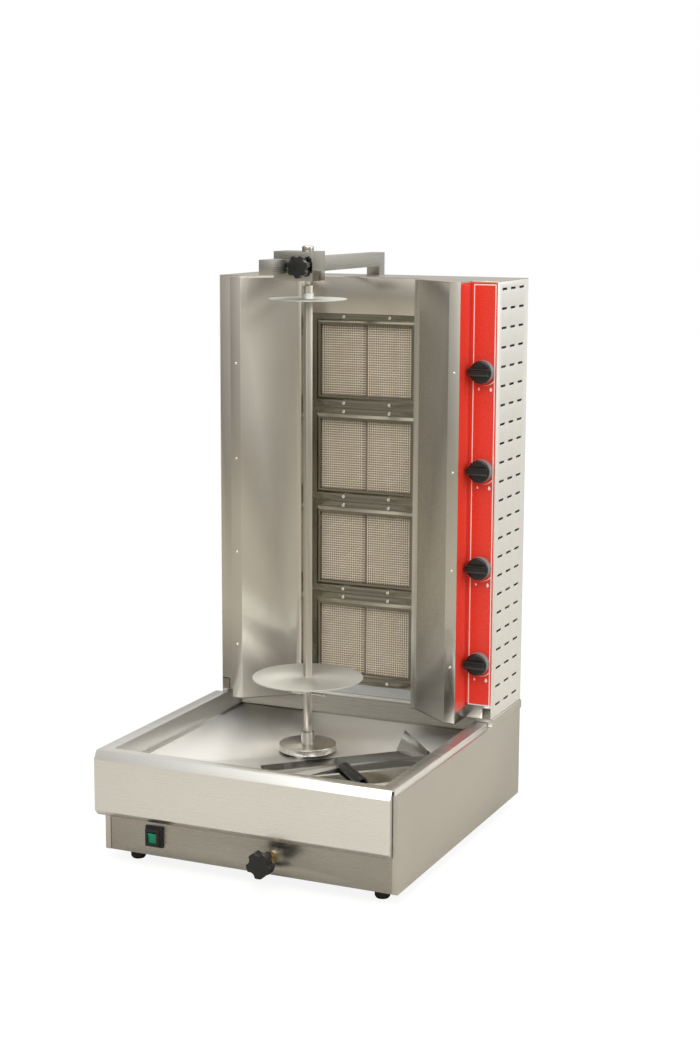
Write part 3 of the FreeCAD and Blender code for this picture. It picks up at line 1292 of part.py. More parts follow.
def make_scoop():
    """A pan for sliced meat: floor, low wall across it, one pointed end flap and a tube for a handle."""
    back = "scoop_depth + scoop_spread"
    right = "scoop_length - scoop_taper"
    pan = new_body("scoop_pan", SCOOP_AT, SCOOP_TURN)
    floor = new_sketch(pan, "scoop_floor", "XY_Plane")
    polygon(floor, (("0", "0"), ("scoop_length", "0"), (right, back), ("scoop_taper / 2", "scoop_depth")))
    pad(pan, "scoop_floor_pad", floor, "sheet")
    apron = new_sketch(pan, "scoop_apron_face", "XY_Plane")
    polygon(apron, (
        ("scoop_length * 0.25", "sheet"),
        ("scoop_length", "sheet"),
        ("scoop_length * 0.8", "-scoop_apron"),
        ("scoop_length * 0.55", "-scoop_apron"),
    ))
    pad(pan, "scoop_apron_pad", apron, "sheet")
    wall = new_sketch(pan, "scoop_wall", "XZ_Plane", "-sheet")
    polygon(wall, (
        ("0", "0"),
        ("scoop_length", "0"),
        ("scoop_length", "scoop_wall + sheet"),
        ("0", "scoop_wall"),
    ))
    pad(pan, "scoop_wall_pad", wall, "sheet")
    strip = new_sketch(pan, "scoop_flap_foot", "XY_Plane")
    polygon(strip, (
        ("scoop_length - sheet", "0"),
        ("scoop_length", "0"),
        (right, back),
        (f"{right} - sheet", back),
    ))
    pad(pan, "scoop_flap_pad", strip, "scoop_flap")
    tip = "scoop_depth * 0.85"
    trim = new_sketch(pan, "scoop_flap_trim", "YZ_Plane")
    polygon(trim, (
        ("-sheet", "scoop_wall + sheet"),
        (tip, "scoop_flap"),
        (f"{back} + sheet", "2 * sheet"),
        (f"{back} + sheet", "2 * scoop_flap"),
        ("-sheet", "2 * scoop_flap"),
    ))
    pan.Tip = pocket_through(pan, "scoop_flap_cut", trim)
    piece("scoop_pan", pan)
    middle = ("scoop_length * 0.47", "grip_radius + sheet")
    grip = new_body("scoop_handle", SCOOP_AT, SCOOP_TURN)
    ring = new_sketch(grip, "grip_ring", "XZ_Plane", "0")
    circle(ring, "grip_radius", *middle)
    pad(grip, "grip_pad", ring, "grip_length")
    bore = new_sketch(grip, "grip_bore", "XZ_Plane", "grip_wall")
    circle(bore, "grip_radius - grip_wall", *middle)
    hollow = grip.newObject("PartDesign::Pocket", "grip_bore_cut")
    hollow.Profile = bore
    hollow.setExpression("Length", bound("grip_length"))
    hollow.Reversed = True
    grip.Tip = hollow
    piece("scoop_handle", grip)


make_base()
make_tray()
make_plinth()
post_holes, arm_bolts = make_arm()
wing_rivets = make_cabinet(post_holes)
burner_screws = make_burners()
piece("fasteners", *wing_rivets, *burner_screws, *arm_bolts)
make_gas_train()
make_control_knobs()
make_head()
make_spit()
make_drive()
make_electrics()
make_scoop()
doc.recompute()

for item in doc.Objects:
    if "Invalid" in item.State or "Error" in item.State:
        raise RuntimeError(f"{item.Name} ({item.Label}) did not compute: {item.State}")
for item in PIECES:
    if item.Shape.isNull() or not item.Shape.isValid() or not item.Shape.Solids:
        raise RuntimeError(f"{item.Label} has no valid solid")

os.makedirs("parts", exist_ok=True)
for item in PIECES:
    item.Shape.exportStep(f"parts/{item.Label}.step")
    limits = item.Shape.BoundBox
    print(f"{item.Label:20s} {len(item.Shape.Solids):3d} solids  {item.Shape.Volume / 1000:9.1f} cm3 "
          f" x {limits.XMin:7.1f} {limits.XMax:7.1f}  y {limits.YMin:7.1f} {limits.YMax:7.1f} "
          f" z {limits.ZMin:7.1f} {limits.ZMax:7.1f}")
print(f"{len(PIECES)} sub-parts")
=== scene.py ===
# %% [markdown]
# # A gas rotisserie oven, finished in Blender
#
# The oven is a tall stainless cabinet with four infrared burners, standing on a low base that holds
# the grease tray, the motor carriage and the mains switch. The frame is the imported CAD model: every
# sheet, shaft and knob is already there at its true size. What is missing is what metal, rubber,
# ceramic and wire look like, and the small shapes that CAD leaves plain. Each cell below takes one
# finish or one piece, says what it is on the real oven, and why it is made the way it is.

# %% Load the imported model
import json
import math
import bmesh
import bpy
from mathutils import Matrix, Vector

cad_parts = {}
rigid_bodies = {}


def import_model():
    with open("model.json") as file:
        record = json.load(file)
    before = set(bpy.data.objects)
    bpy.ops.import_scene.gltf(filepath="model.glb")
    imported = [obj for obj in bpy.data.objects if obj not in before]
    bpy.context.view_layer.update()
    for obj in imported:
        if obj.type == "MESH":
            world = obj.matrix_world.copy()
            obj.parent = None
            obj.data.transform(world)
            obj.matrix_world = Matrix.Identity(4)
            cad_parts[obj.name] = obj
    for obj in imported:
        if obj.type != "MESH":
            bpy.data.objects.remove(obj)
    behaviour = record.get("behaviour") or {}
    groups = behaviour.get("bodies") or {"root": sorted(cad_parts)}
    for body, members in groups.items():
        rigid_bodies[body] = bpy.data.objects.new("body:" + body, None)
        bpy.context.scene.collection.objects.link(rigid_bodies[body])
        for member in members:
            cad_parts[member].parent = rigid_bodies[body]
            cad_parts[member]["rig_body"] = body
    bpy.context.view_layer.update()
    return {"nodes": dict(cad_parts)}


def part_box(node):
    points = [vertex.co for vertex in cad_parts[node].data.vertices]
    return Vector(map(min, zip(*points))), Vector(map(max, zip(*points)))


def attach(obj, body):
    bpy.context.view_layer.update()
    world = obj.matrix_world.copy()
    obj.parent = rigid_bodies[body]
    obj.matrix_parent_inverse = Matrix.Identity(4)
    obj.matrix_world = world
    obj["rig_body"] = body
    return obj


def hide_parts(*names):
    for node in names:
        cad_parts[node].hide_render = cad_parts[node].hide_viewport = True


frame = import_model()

nodes = frame["nodes"]
MM = 0.001

# %% [markdown]
# ## The camera
#
# A machine this tall looks best through a long lens from a few metres away, so that its upright
# edges stay nearly parallel. The camera stands to the right of the oven, a little above its top,
# and looks 24 degrees to the left and 10 degrees down. Its turn is built from three directions
# (right, up and back), because that is what a camera's matrix really is.

# %% Camera
CAMERA_PLACE = Vector((1.3880, -2.9738, 1.1321))
CAMERA_YAW = math.radians(24.01)
CAMERA_PITCH = math.radians(9.93)
CAMERA_ROLL = math.radians(0.25)
LENS_MM = 65.65
SENSOR_MM = 36


def make_camera():
    camera = bpy.data.objects.new("camera", bpy.data.cameras.new("camera"))
    bpy.context.scene.collection.objects.link(camera)
    camera.data.lens = LENS_MM
    camera.data.sensor_width = SENSOR_MM
    back = Vector((
        math.sin(CAMERA_YAW) * math.cos(CAMERA_PITCH),
        -math.cos(CAMERA_YAW) * math.cos(CAMERA_PITCH),
        math.sin(CAMERA_PITCH),
    ))
    level = Vector((0, 0, 1)).cross(back).normalized()
    upright = back.cross(level)
    right = level * math.cos(CAMERA_ROLL) + upright * math.sin(CAMERA_ROLL)
    up = back.cross(right)
    turn = Matrix((right, up, back)).transposed().to_4x4()
    camera.matrix_world = Matrix.Translation(CAMERA_PLACE) @ turn
    bpy.context.scene.camera = camera


make_camera()
bpy.context.scene.view_settings.view_transform = "Standard"

# %% [markdown]
# ## A soft studio
#
# Polished steel has almost no colour of its own: it shows the room. In a room that is white all
# round it would look like paper, so this one has a bright ceiling, a fairly bright right side and
# a dim left side, and the upright sheets pick up calm bands of light and dark from them. Sky and
# floor are white to the camera but darker and warmer to the steel. No real room does that: the
# levels were simply chosen so that the sheets come out at the right greys.

# %% Floor, sky and lamps
FLOOR_HALF = 12
PAPER = (0.93, 0.93, 0.92, 1)
PAPER_IN_STEEL = (0.49, 0.465, 0.42, 1)
PAPER_GLOW = 1.05
GLOW_SHARE = 0.84


def shader_tree(tree):
    """Empties a tree and returns two short ways to work on it: add a node, and link two sockets."""
    tree.nodes.clear()
    return tree.nodes.new, tree.links.new


def make_floor():
    mesh = bpy.data.meshes.new("floor")
    half = FLOOR_HALF
    corners = [(-half, -half, 0), (half, -half, 0), (half, half, 0), (-half, half, 0)]
    mesh.from_pydata(corners, [], [(0, 1, 2, 3)])
    floor = bpy.data.objects.new("floor", mesh)
    bpy.context.scene.collection.objects.link(floor)
    paper = bpy.data.materials.new("floor_paper")
    paper.use_nodes = True
    add, link = shader_tree(paper.node_tree)
    path = add("ShaderNodeLightPath")
    glow = add("ShaderNodeEmission")
    near, far = add("ShaderNodeBsdfDiffuse"), add("ShaderNodeBsdfDiffuse")
    near.inputs["Color"].default_value = PAPER
    far.inputs["Color"].default_value = PAPER_IN_STEEL
    white, whole = add("ShaderNodeMixShader"), add("ShaderNodeMixShader")
    white.inputs["Fac"].default_value = GLOW_SHARE
    glow.inputs["Strength"].default_value = PAPER_GLOW
    link(near.outputs[0], white.inputs[1])
    link(glow.outputs[0], white.inputs[2])
    link(path.outputs["Is Camera Ray"], whole.inputs["Fac"])
    link(far.outputs[0], whole.inputs[1])
    link(white.outputs[0], whole.inputs[2])
    link(whole.outputs[0], add("ShaderNodeOutputMaterial").inputs["Surface"])
    mesh.materials.append(paper)


# Brightness of the sky from left to right and from below to overhead, as (position, level).
SKY_ACROSS = (
    (0.0, 0.34), (0.22, 0.70), (0.42, 0.86), (0.62, 1.25), (0.78, 1.15), (0.93, 0.66), (1.0, 1.05),
)
SKY_UPWARDS = ((0.0, 0.45), (0.44, 0.55), (0.52, 0.74), (0.62, 1.1), (1.0, 1.5))
SKY_SEEN = (1, 1, 1, 1)
SKY_IN_STEEL = (0.80, 0.775, 0.72, 1)


def make_sky():
    """A sky that is white to the camera, and banded from side to side and upwards in the steel."""
    world = bpy.data.worlds.new("studio")
    bpy.context.scene.world = world
    world.use_nodes = True
    add, link = shader_tree(world.node_tree)
    split = add("ShaderNodeSeparateXYZ")
    link(add("ShaderNodeTexCoord").outputs["Generated"], split.inputs[0])
    levels = []
    for direction, stops in (("X", SKY_ACROSS), ("Z", SKY_UPWARDS)):
        shift = add("ShaderNodeMath")
        shift.operation = "MULTIPLY_ADD"
        shift.inputs[1].default_value = 0.5
        shift.inputs[2].default_value = 0.5
        bands = add("ShaderNodeValToRGB")
        ramp = bands.color_ramp
        while len(ramp.elements) < len(stops):
            ramp.elements.new(0.5)
        for element, (at, level) in zip(ramp.elements, stops):
            element.position = at
            element.color = (level, level, level, 1)
        link(split.outputs[direction], shift.inputs[0])
        link(shift.outputs[0], bands.inputs["Fac"])
        levels.append(bands.outputs["Color"])
    both = add("ShaderNodeMath")
    both.operation = "MULTIPLY"
    link(levels[0], both.inputs[0])
    link(levels[1], both.inputs[1])
    seen, lit = add("ShaderNodeBackground"), add("ShaderNodeBackground")
    mix = add("ShaderNodeMixShader")
    seen.inputs["Color"].default_value = SKY_SEEN
    lit.inputs["Color"].default_value = SKY_IN_STEEL
    link(both.outputs[0], lit.inputs["Strength"])
    link(add("ShaderNodeLightPath").outputs["Is Camera Ray"], mix.inputs["Fac"])
    link(lit.outputs[0], mix.inputs[1])
    link(seen.outputs[0], mix.inputs[2])
    link(mix.outputs[0], add("ShaderNodeOutputWorld").inputs["Surface"])


def make_lamp(name, place, size, watts):
    """A soft box: a flat lamp of the given width and height, turned to face the oven's middle."""
    light = bpy.data.lights.new(name, "AREA")
    light.shape = "RECTANGLE"
    light.size, light.size_y = size
    light.energy = watts
    lamp = bpy.data.objects.new(name, light)
    bpy.context.scene.collection.objects.link(lamp)
    lamp.location = place
    lamp.rotation_mode = "QUATERNION"
    lamp.rotation_quaternion = (LAMP_AIM - Vector(place)).to_track_quat("-Z", "Y")


LAMP_AIM = Vector((0, 0, 0.5))
# Name, place and size in metres, watts.
LAMPS = (
    ("soft_top", (0.2, -0.4, 3.4), (3.0, 3.0), 30),
    ("soft_key", (0.9, -2.8, 3.4), (2.0, 2.0), 52),
    ("soft_right", (3.6, 0.6, 1.9), (2.4, 2.2), 34),
)

make_floor()
make_sky()
for lamp_row in LAMPS:
    make_lamp(*lamp_row)

# %% [markdown]
# ## How the metals are made
#
# Every finish below is a small network around one Principled shader. The sheet steels share a
# recipe: rolling and brushing leave long thin scratches in one direction, so a noise texture is
# squeezed until its grains are hundreds of times longer than they are wide. It varies the roughness
# a little and, as bump, breaks up reflections the way real brushing does. A second, broad noise
# brings the faint clouds that wiping leaves on steel.

# %% Helpers for materials
def new_finish(name, colour, metallic=0.0, roughness=0.5):
    """A material with its node tree and its Principled shader."""
    finish = bpy.data.materials.new(name)
    finish.use_nodes = True
    shader = finish.node_tree.nodes["Principled BSDF"]
    shader.inputs["Base Color"].default_value = (*colour, 1)
    shader.inputs["Metallic"].default_value = metallic
    shader.inputs["Roughness"].default_value = roughness
    return finish, shader


def grain(finish, scale, detail):
    """Noise on Object coordinates. A Mapping node sets how fast it changes per metre each way."""
    nodes_of = finish.node_tree.nodes
    link = finish.node_tree.links.new
    place = nodes_of.new("ShaderNodeTexCoord")
    stretch = nodes_of.new("ShaderNodeMapping")
    stretch.inputs["Scale"].default_value = scale
    noise = nodes_of.new("ShaderNodeTexNoise")
    noise.inputs["Scale"].default_value = 1.0
    noise.inputs["Detail"].default_value = detail
    link(place.outputs["Object"], stretch.inputs["Vector"])
    link(stretch.outputs["Vector"], noise.inputs["Vector"])
    return noise.outputs["Fac"]


def between(finish, value, low, high, low_at=0.3, high_at=0.7):
    """A texture value spread over a range, for a roughness or a mask."""
    spread = finish.node_tree.nodes.new("ShaderNodeMapRange")
    spread.inputs["From Min"].default_value = low_at
    spread.inputs["From Max"].default_value = high_at
    spread.inputs["To Min"].default_value = low
    spread.inputs["To Max"].default_value = high
    finish.node_tree.links.new(value, spread.inputs["Value"])
    return spread.outputs["Result"]


def tinted(finish, value, first, second):
    """A colour that goes from first to second as the value goes from 0 to 1."""
    mix = finish.node_tree.nodes.new("ShaderNodeMix")
    mix.data_type = "RGBA"
    mix.inputs["A"].default_value = (*first, 1)
    mix.inputs["B"].default_value = (*second, 1)
    finish.node_tree.links.new(value, mix.inputs["Factor"])
    return mix.outputs["Result"]


def bumped(finish, shader, value, strength, depth):
    """Tilts the shading as a relief of the given depth in metres would."""
    bump = finish.node_tree.nodes.new("ShaderNodeBump")
    bump.inputs["Strength"].default_value = strength
    bump.inputs["Distance"].default_value = depth
    finish.node_tree.links.new(value, bump.inputs["Height"])
    finish.node_tree.links.new(bump.outputs["Normal"], shader.inputs["Normal"])


# Scratches run along the named axis: the noise changes slowly along it and fast across it.
BRUSH = {"x": (9, 2600, 2600), "y": (2600, 9, 2600), "z": (2600, 2600, 9)}
CLOUDS = (5, 5, 5)
SKIN = (900, 900, 900)
SCRATCH_DEPTH = 0.04 * MM
SKIN_DEPTH = 0.1 * MM


def brushed_steel(name, axis, light, dark, roughness, relief=0.05):
    """Steel brushed along an axis, a little cloudy, with roughness that follows the scratches."""
    finish, shader = new_finish(name, light, metallic=1.0)
    scratches = grain(finish, BRUSH[axis], detail=2.0)
    clouds = grain(finish, CLOUDS, detail=4.0)
    link = finish.node_tree.links.new
    link(tinted(finish, between(finish, clouds, 0, 1), light, dark), shader.inputs["Base Color"])
    low, high = roughness
    link(between(finish, scratches, low, high), shader.inputs["Roughness"])
    shader.inputs["Anisotropic"].default_value = 0.4
    bumped(finish, shader, scratches, relief, SCRATCH_DEPTH)
    return finish


def shaded(finish, axis, start, end, shade):
    """Darkens a finish from start to end along an axis, in metres, and leaves it dark beyond.

    The real sheets are one colour all over. This imitates the darker things that these parts
    would mirror in a real room, so it is painted on and doesn't follow the lamps or the view.
    """
    tree = finish.node_tree
    shader = tree.nodes["Principled BSDF"]
    colour = shader.inputs["Base Color"].links[0].from_socket
    place = tree.nodes.new("ShaderNodeTexCoord")
    split = tree.nodes.new("ShaderNodeSeparateXYZ")
    tree.links.new(place.outputs["Object"], split.inputs[0])
    fade = between(finish, split.outputs[axis], 0, 1, start, end)
    mix = tree.nodes.new("ShaderNodeMix")
    mix.data_type = "RGBA"
    mix.blend_type = "MULTIPLY"
    mix.inputs["B"].default_value = (*shade, 1)
    tree.links.new(fade, mix.inputs["Factor"])
    tree.links.new(colour, mix.inputs["A"])
    tree.links.new(mix.outputs["Result"], shader.inputs["Base Color"])


# %% Steel finishes
BODY_STEEL = brushed_steel(
    "body_steel", "x", (0.46, 0.445, 0.415), (0.40, 0.385, 0.36), (0.24, 0.34), 0.03,
)
SIDE_STEEL = brushed_steel(
    "side_steel", "y", (0.67, 0.655, 0.62), (0.62, 0.605, 0.57), (0.28, 0.40),
)
UPRIGHT_STEEL = brushed_steel(
    "upright_steel", "z", (0.62, 0.595, 0.545), (0.56, 0.535, 0.485), (0.22, 0.27), 0.01,
)
shaded(UPRIGHT_STEEL, "Z", 0.36, 0.24, (0.58, 0.58, 0.58))
LINER_STEEL = brushed_steel(
    "liner_steel", "x", (0.97, 0.965, 0.945), (0.95, 0.945, 0.925), (0.42, 0.52), 0.02,
)
TRAY_STEEL = brushed_steel(
    "tray_steel", "x", (0.93, 0.935, 0.925), (0.89, 0.895, 0.885), (0.26, 0.32), 0.006,
)
shaded(TRAY_STEEL, "Y", 0.185, 0.205, (0.42, 0.40, 0.36))
PALE_STEEL = brushed_steel(
    "pale_steel", "z", (0.93, 0.94, 0.93), (0.90, 0.91, 0.90), (0.45, 0.55), 0.03,
)
ZINC_STEEL = brushed_steel("zinc_steel", "x", (0.55, 0.56, 0.56), (0.46, 0.47, 0.48), (0.35, 0.5))
BURNER_STEEL = brushed_steel(
    "burner_steel", "x", (0.26, 0.24, 0.20), (0.21, 0.195, 0.155), (0.16, 0.22), 0.008,
)
TURNED_STEEL = brushed_steel(
    "turned_steel", "z", (0.60, 0.585, 0.54), (0.54, 0.525, 0.48), (0.22, 0.32), 0.04,
)
SATIN_STEEL = brushed_steel(
    "satin_steel", "x", (0.68, 0.685, 0.65), (0.63, 0.635, 0.60), (0.48, 0.58), 0.02,
)
BAR_STEEL = brushed_steel(
    "bar_steel", "z", (0.54, 0.515, 0.46), (0.48, 0.455, 0.40), (0.24, 0.36), 0.05,
)
POLISHED_STEEL = brushed_steel(
    "polished_steel", "x", (0.46, 0.45, 0.42), (0.41, 0.40, 0.37), (0.10, 0.16), 0.02,
)
SCREW_STEEL = brushed_steel(
    "screw_steel", "x", (0.80, 0.78, 0.73), (0.72, 0.70, 0.65), (0.16, 0.26), 0.03,
)
ARM_STEEL = brushed_steel(
    "arm_steel", "y", (0.52, 0.515, 0.485), (0.47, 0.465, 0.435), (0.24, 0.34), 0.03,
)

# %% Plastics, rubber, ceramic and the rest
def moulded(name, colour, low, high, relief):
    """Moulded plastic or rubber: a fine uneven skin that scatters the light a little."""
    finish, shader = new_finish(name, colour)
    skin = grain(finish, SKIN, detail=2.0)
    finish.node_tree.links.new(between(finish, skin, low, high), shader.inputs["Roughness"])
    bumped(finish, shader, skin, relief, SKIN_DEPTH)
    return finish


BLACK_PLASTIC = moulded("black_plastic", (0.008, 0.009, 0.009), 0.26, 0.38, 0.2)
BLACK_RUBBER = moulded("black_rubber", (0.012, 0.012, 0.012), 0.6, 0.8, 0.5)
GREEN_PLASTIC = moulded("green_plastic", (0.0, 0.22, 0.12), 0.18, 0.3, 0.1)
KNOB_COLLAR = moulded("knob_collar", (0.20, 0.20, 0.20), 0.28, 0.4, 0.1)
WHITE_PRINT = moulded("white_print", (0.86, 0.80, 0.78), 0.4, 0.5, 0.05)
MOTOR_PAINT = moulded("motor_paint", (0.09, 0.095, 0.10), 0.4, 0.55, 0.3)
RED_VINYL = moulded("red_vinyl", (0.73, 0.04, 0.022), 0.22, 0.34, 0.05)


HOLES_PER_METRE = 420
HOLE_DEPTH = 1 * MM


def pierced_ceramic():
    """Burner plaque face: beige ceramic, pierced by hundreds of fine holes painted dark as shade."""
    finish, shader = new_finish("ceramic", (0.30, 0.25, 0.19), roughness=0.9)
    place = finish.node_tree.nodes.new("ShaderNodeTexCoord")
    holes = finish.node_tree.nodes.new("ShaderNodeTexVoronoi")
    holes.inputs["Scale"].default_value = HOLES_PER_METRE
    holes.inputs["Randomness"].default_value = 0.0
    finish.node_tree.links.new(place.outputs["Object"], holes.inputs["Vector"])
    pit_depth_and_shade = between(finish, holes.outputs["Distance"], 0, 1, 0.22, 0.34)
    # Painted shade: each hole is dark in colour; only its depth comes from the bump.
    colour = tinted(finish, pit_depth_and_shade, (0.03, 0.024, 0.018), (0.32, 0.265, 0.20))
    finish.node_tree.links.new(colour, shader.inputs["Base Color"])
    bumped(finish, shader, pit_depth_and_shade, 0.5, HOLE_DEPTH)
    return finish


CERAMIC = pierced_ceramic()
BRASS = brushed_steel("brass", "y", (0.70, 0.52, 0.26), (0.62, 0.45, 0.22), (0.25, 0.38))
PIPE = brushed_steel("gas_pipe", "z", (0.62, 0.50, 0.36), (0.56, 0.44, 0.30), (0.3, 0.42))

FINISHES = {
    BODY_STEEL: "front_panel",
    SIDE_STEEL: "base_shell plinth",
    UPRIGHT_STEEL: "wing_left wing_right control_panel_left control_panel_right"
                   " header_panel top_cover",
    TRAY_STEEL: "tray tray_liner",
    PALE_STEEL: "side_panel_left side_panel_right cabinet_back",
    ZINC_STEEL: "bottom_plate burner_backplate slide_rails carriage_plate burner_boxes"
                " venturi_tubes",
    BURNER_STEEL: "cabinet_floor burner_frame_1 burner_frame_2 burner_frame_3 burner_frame_4"
                  " fasteners",
    TURNED_STEEL: "turntable lower_disc upper_disc drive_shaft top_pin cross_pin head_stud"
                  " slide_rod head_block scoop_pan",
    BAR_STEEL: "spit_bar",
    ARM_STEEL: "overhead_arm shaft_bearing",
    BLACK_PLASTIC: "control_knob_1 control_knob_2 control_knob_3 control_knob_4 head_knob"
                   " slide_knob switch_case cable_gland scoop_handle",
    BLACK_RUBBER: "feet",
    GREEN_PLASTIC: "switch_rocker",
    MOTOR_PAINT: "gear_motor gearbox",
    RED_VINYL: "red_labels",
    CERAMIC: "burner_tiles burner_meshes",
    BRASS: "gas_valves gas_inlet rod_bush",
    PIPE: "gas_manifold",
}


def assign_finishes():
    given = 0
    for finish, names in FINISHES.items():
        for name in names.split():
            node = nodes[name]
            for slot in node.material_slots:
                slot.material = finish
            given += 1
    print("finishes given to", given, "of", len(nodes), "nodes")


assign_finishes()

# %% [markdown]
# ## Soft edges on folded sheet and machined blocks
#
# A folded sheet has a small radius at each fold and a cut sheet has a slightly broken edge. Those
# thin lines catch the lamps and are most of what makes metal look like metal. A CAD node is left
# alone, so the function copies its mesh, merges the loose triangles, dissolves the flat ones into
# whole faces and bevels what is sharp. The copy then stands for the node.

# %% Rounded copies of CAD nodes
SHARP = math.radians(28)
FLAT = math.radians(0.6)
WELD = 0.01 * MM
EDGE_SEGMENTS = 2


def finish_mesh(mesh):
    """Smooth shading that breaks where faces meet at a sharp angle."""
    for face in mesh.polygons:
        face.use_smooth = True
    mesh.set_sharp_from_angle(angle=SHARP)


def add_piece(name, mesh, finish, body, slot, *replaced):
    """Links a mesh as a piece: its finish, its body and the nodes it stands for; slot is not used."""
    piece = bpy.data.objects.new(name, mesh)
    bpy.context.scene.collection.objects.link(piece)
    mesh.materials.append(finish)
    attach(piece, body)
    if replaced:
        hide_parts(*replaced)
    return piece


def softened(node_name, finish, slot, width):
    """A copy of a CAD node whose sharp edges are rounded to the given width."""
    source = nodes[node_name]
    shape = bmesh.new()
    shape.from_mesh(source.data)
    bmesh.ops.remove_doubles(shape, verts=shape.verts, dist=WELD)
    bmesh.ops.dissolve_limit(shape, angle_limit=FLAT, verts=shape.verts, edges=shape.edges)
    sharp = [
        edge for edge in shape.edges
        if len(edge.link_faces) == 2 and edge.calc_face_angle() > SHARP
    ]
    bmesh.ops.bevel(shape, geom=sharp, offset=width, offset_type="OFFSET",
                    segments=EDGE_SEGMENTS, profile=0.5, affect="EDGES", clamp_overlap=True)
    bmesh.ops.triangulate(shape, faces=[face for face in shape.faces if len(face.verts) > 4])
    mesh = bpy.data.meshes.new(f"{node_name}_soft")
    shape.to_mesh(mesh)
    shape.free()
    finish_mesh(mesh)
    return add_piece(f"{node_name}_soft", mesh, finish, source["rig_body"], slot, node_name)


# Node: finish, material slot and the radius of its edges in millimetres.
EDGES = {
    "base_shell": (SIDE_STEEL, "stainless", 0.5),
    "front_panel": (BODY_STEEL, "stainless", 0.3),
    "tray": (TRAY_STEEL, "tray_steel", 0.5),
    "tray_liner": (LINER_STEEL, "tray_steel", 0.4),
    "plinth": (SIDE_STEEL, "stainless", 0.6),
    "wing_left": (UPRIGHT_STEEL, "stainless", 0.55),
    "wing_right": (UPRIGHT_STEEL, "stainless", 0.55),
    "control_panel_left": (UPRIGHT_STEEL, "stainless", 0.4),
    "control_panel_right": (UPRIGHT_STEEL, "stainless", 0.4),
    "side_panel_left": (PALE_STEEL, "stainless", 0.4),
    "side_panel_right": (PALE_STEEL, "stainless", 0.4),
    "header_panel": (UPRIGHT_STEEL, "stainless", 0.4),
    "top_cover": (UPRIGHT_STEEL, "stainless", 0.5),
    "overhead_arm": (ARM_STEEL, "stainless", 1.2),
    "head_block": (POLISHED_STEEL, "machined_steel", 1.5),
    "scoop_pan": (POLISHED_STEEL, "tray_steel", 0.35),
    "scoop_handle": (BLACK_PLASTIC, "black_plastic", 0.6),
    "head_knob": (BLACK_PLASTIC, "black_plastic", 1.4),
    "slide_knob": (BLACK_PLASTIC, "black_plastic", 2.2),
    "switch_case": (BLACK_RUBBER, "black_plastic", 1.6),
    "switch_rocker": (GREEN_PLASTIC, "green_plastic", 0.9),
    "feet": (BLACK_RUBBER, "black_rubber", 1.2),
    "fasteners": (SCREW_STEEL, "machined_steel", 0.35),
    "top_pin": (TURNED_STEEL, "machined_steel", 0.6),
    "spit_bar": (BAR_STEEL, "machined_steel", 0.8),
    "turntable": (TURNED_STEEL, "machined_steel", 0.5),
    "lower_disc": (SATIN_STEEL, "machined_steel", 0.4),
    "upper_disc": (SATIN_STEEL, "machined_steel", 0.4),
    "burner_frame_1": (BURNER_STEEL, "burner_steel", 0.4),
    "burner_frame_2": (BURNER_STEEL, "burner_steel", 0.4),
    "burner_frame_3": (BURNER_STEEL, "burner_steel", 0.4),
    "burner_frame_4": (BURNER_STEEL, "burner_steel", 0.4),
}


def soften_all():
    for name, (finish, slot, width) in EDGES.items():
        piece = softened(name, finish, slot, width * MM)
        print(f"{name}: {len(piece.data.polygons)} faces")


soften_all()

# %% [markdown]
# ## Woven wire in front of the ceramic plaques
#
# Each burner glows behind a square mesh of crimped wire. Every wire bends over one crossing wire
# and under the next, and neighbours bend the other way round. That is a rule, so Geometry Nodes
# weave it: one wire is a line with a point at each crossing, pushed forwards and backwards in
# turn, and it is repeated along a row of points with every second copy flipped. Four sides are
# enough for a wire this thin, and each plaque has its own panel with a narrow gap between them.

# %% Wire mesh by Geometry Nodes
def new_tree(name, inputs):
    """An empty Geometry Nodes tree with named inputs, and short ways to add and join its nodes."""
    tree = bpy.data.node_groups.new(name, "GeometryNodeTree")
    tree.is_modifier = True
    tree.interface.new_socket("Geometry", in_out="OUTPUT", socket_type="NodeSocketGeometry")
    for label, kind, value in inputs:
        socket = tree.interface.new_socket(label, in_out="INPUT", socket_type=kind)
        if value is not None:
            socket.default_value = value

    def add(kind, links=None, **settings):
        node = tree.nodes.new(kind)
        for key, value in settings.items():
            setattr(node, key, value)
        for key, value in (links or {}).items():
            socket = node.inputs[key]
            if isinstance(value, bpy.types.NodeSocket):
                tree.links.new(value, socket)
            else:
                socket.default_value = value
        return node

    given = tree.nodes.new("NodeGroupInput")
    return tree, add, given.outputs


WIRE_SIDES = 4
CRIMP = 0.9


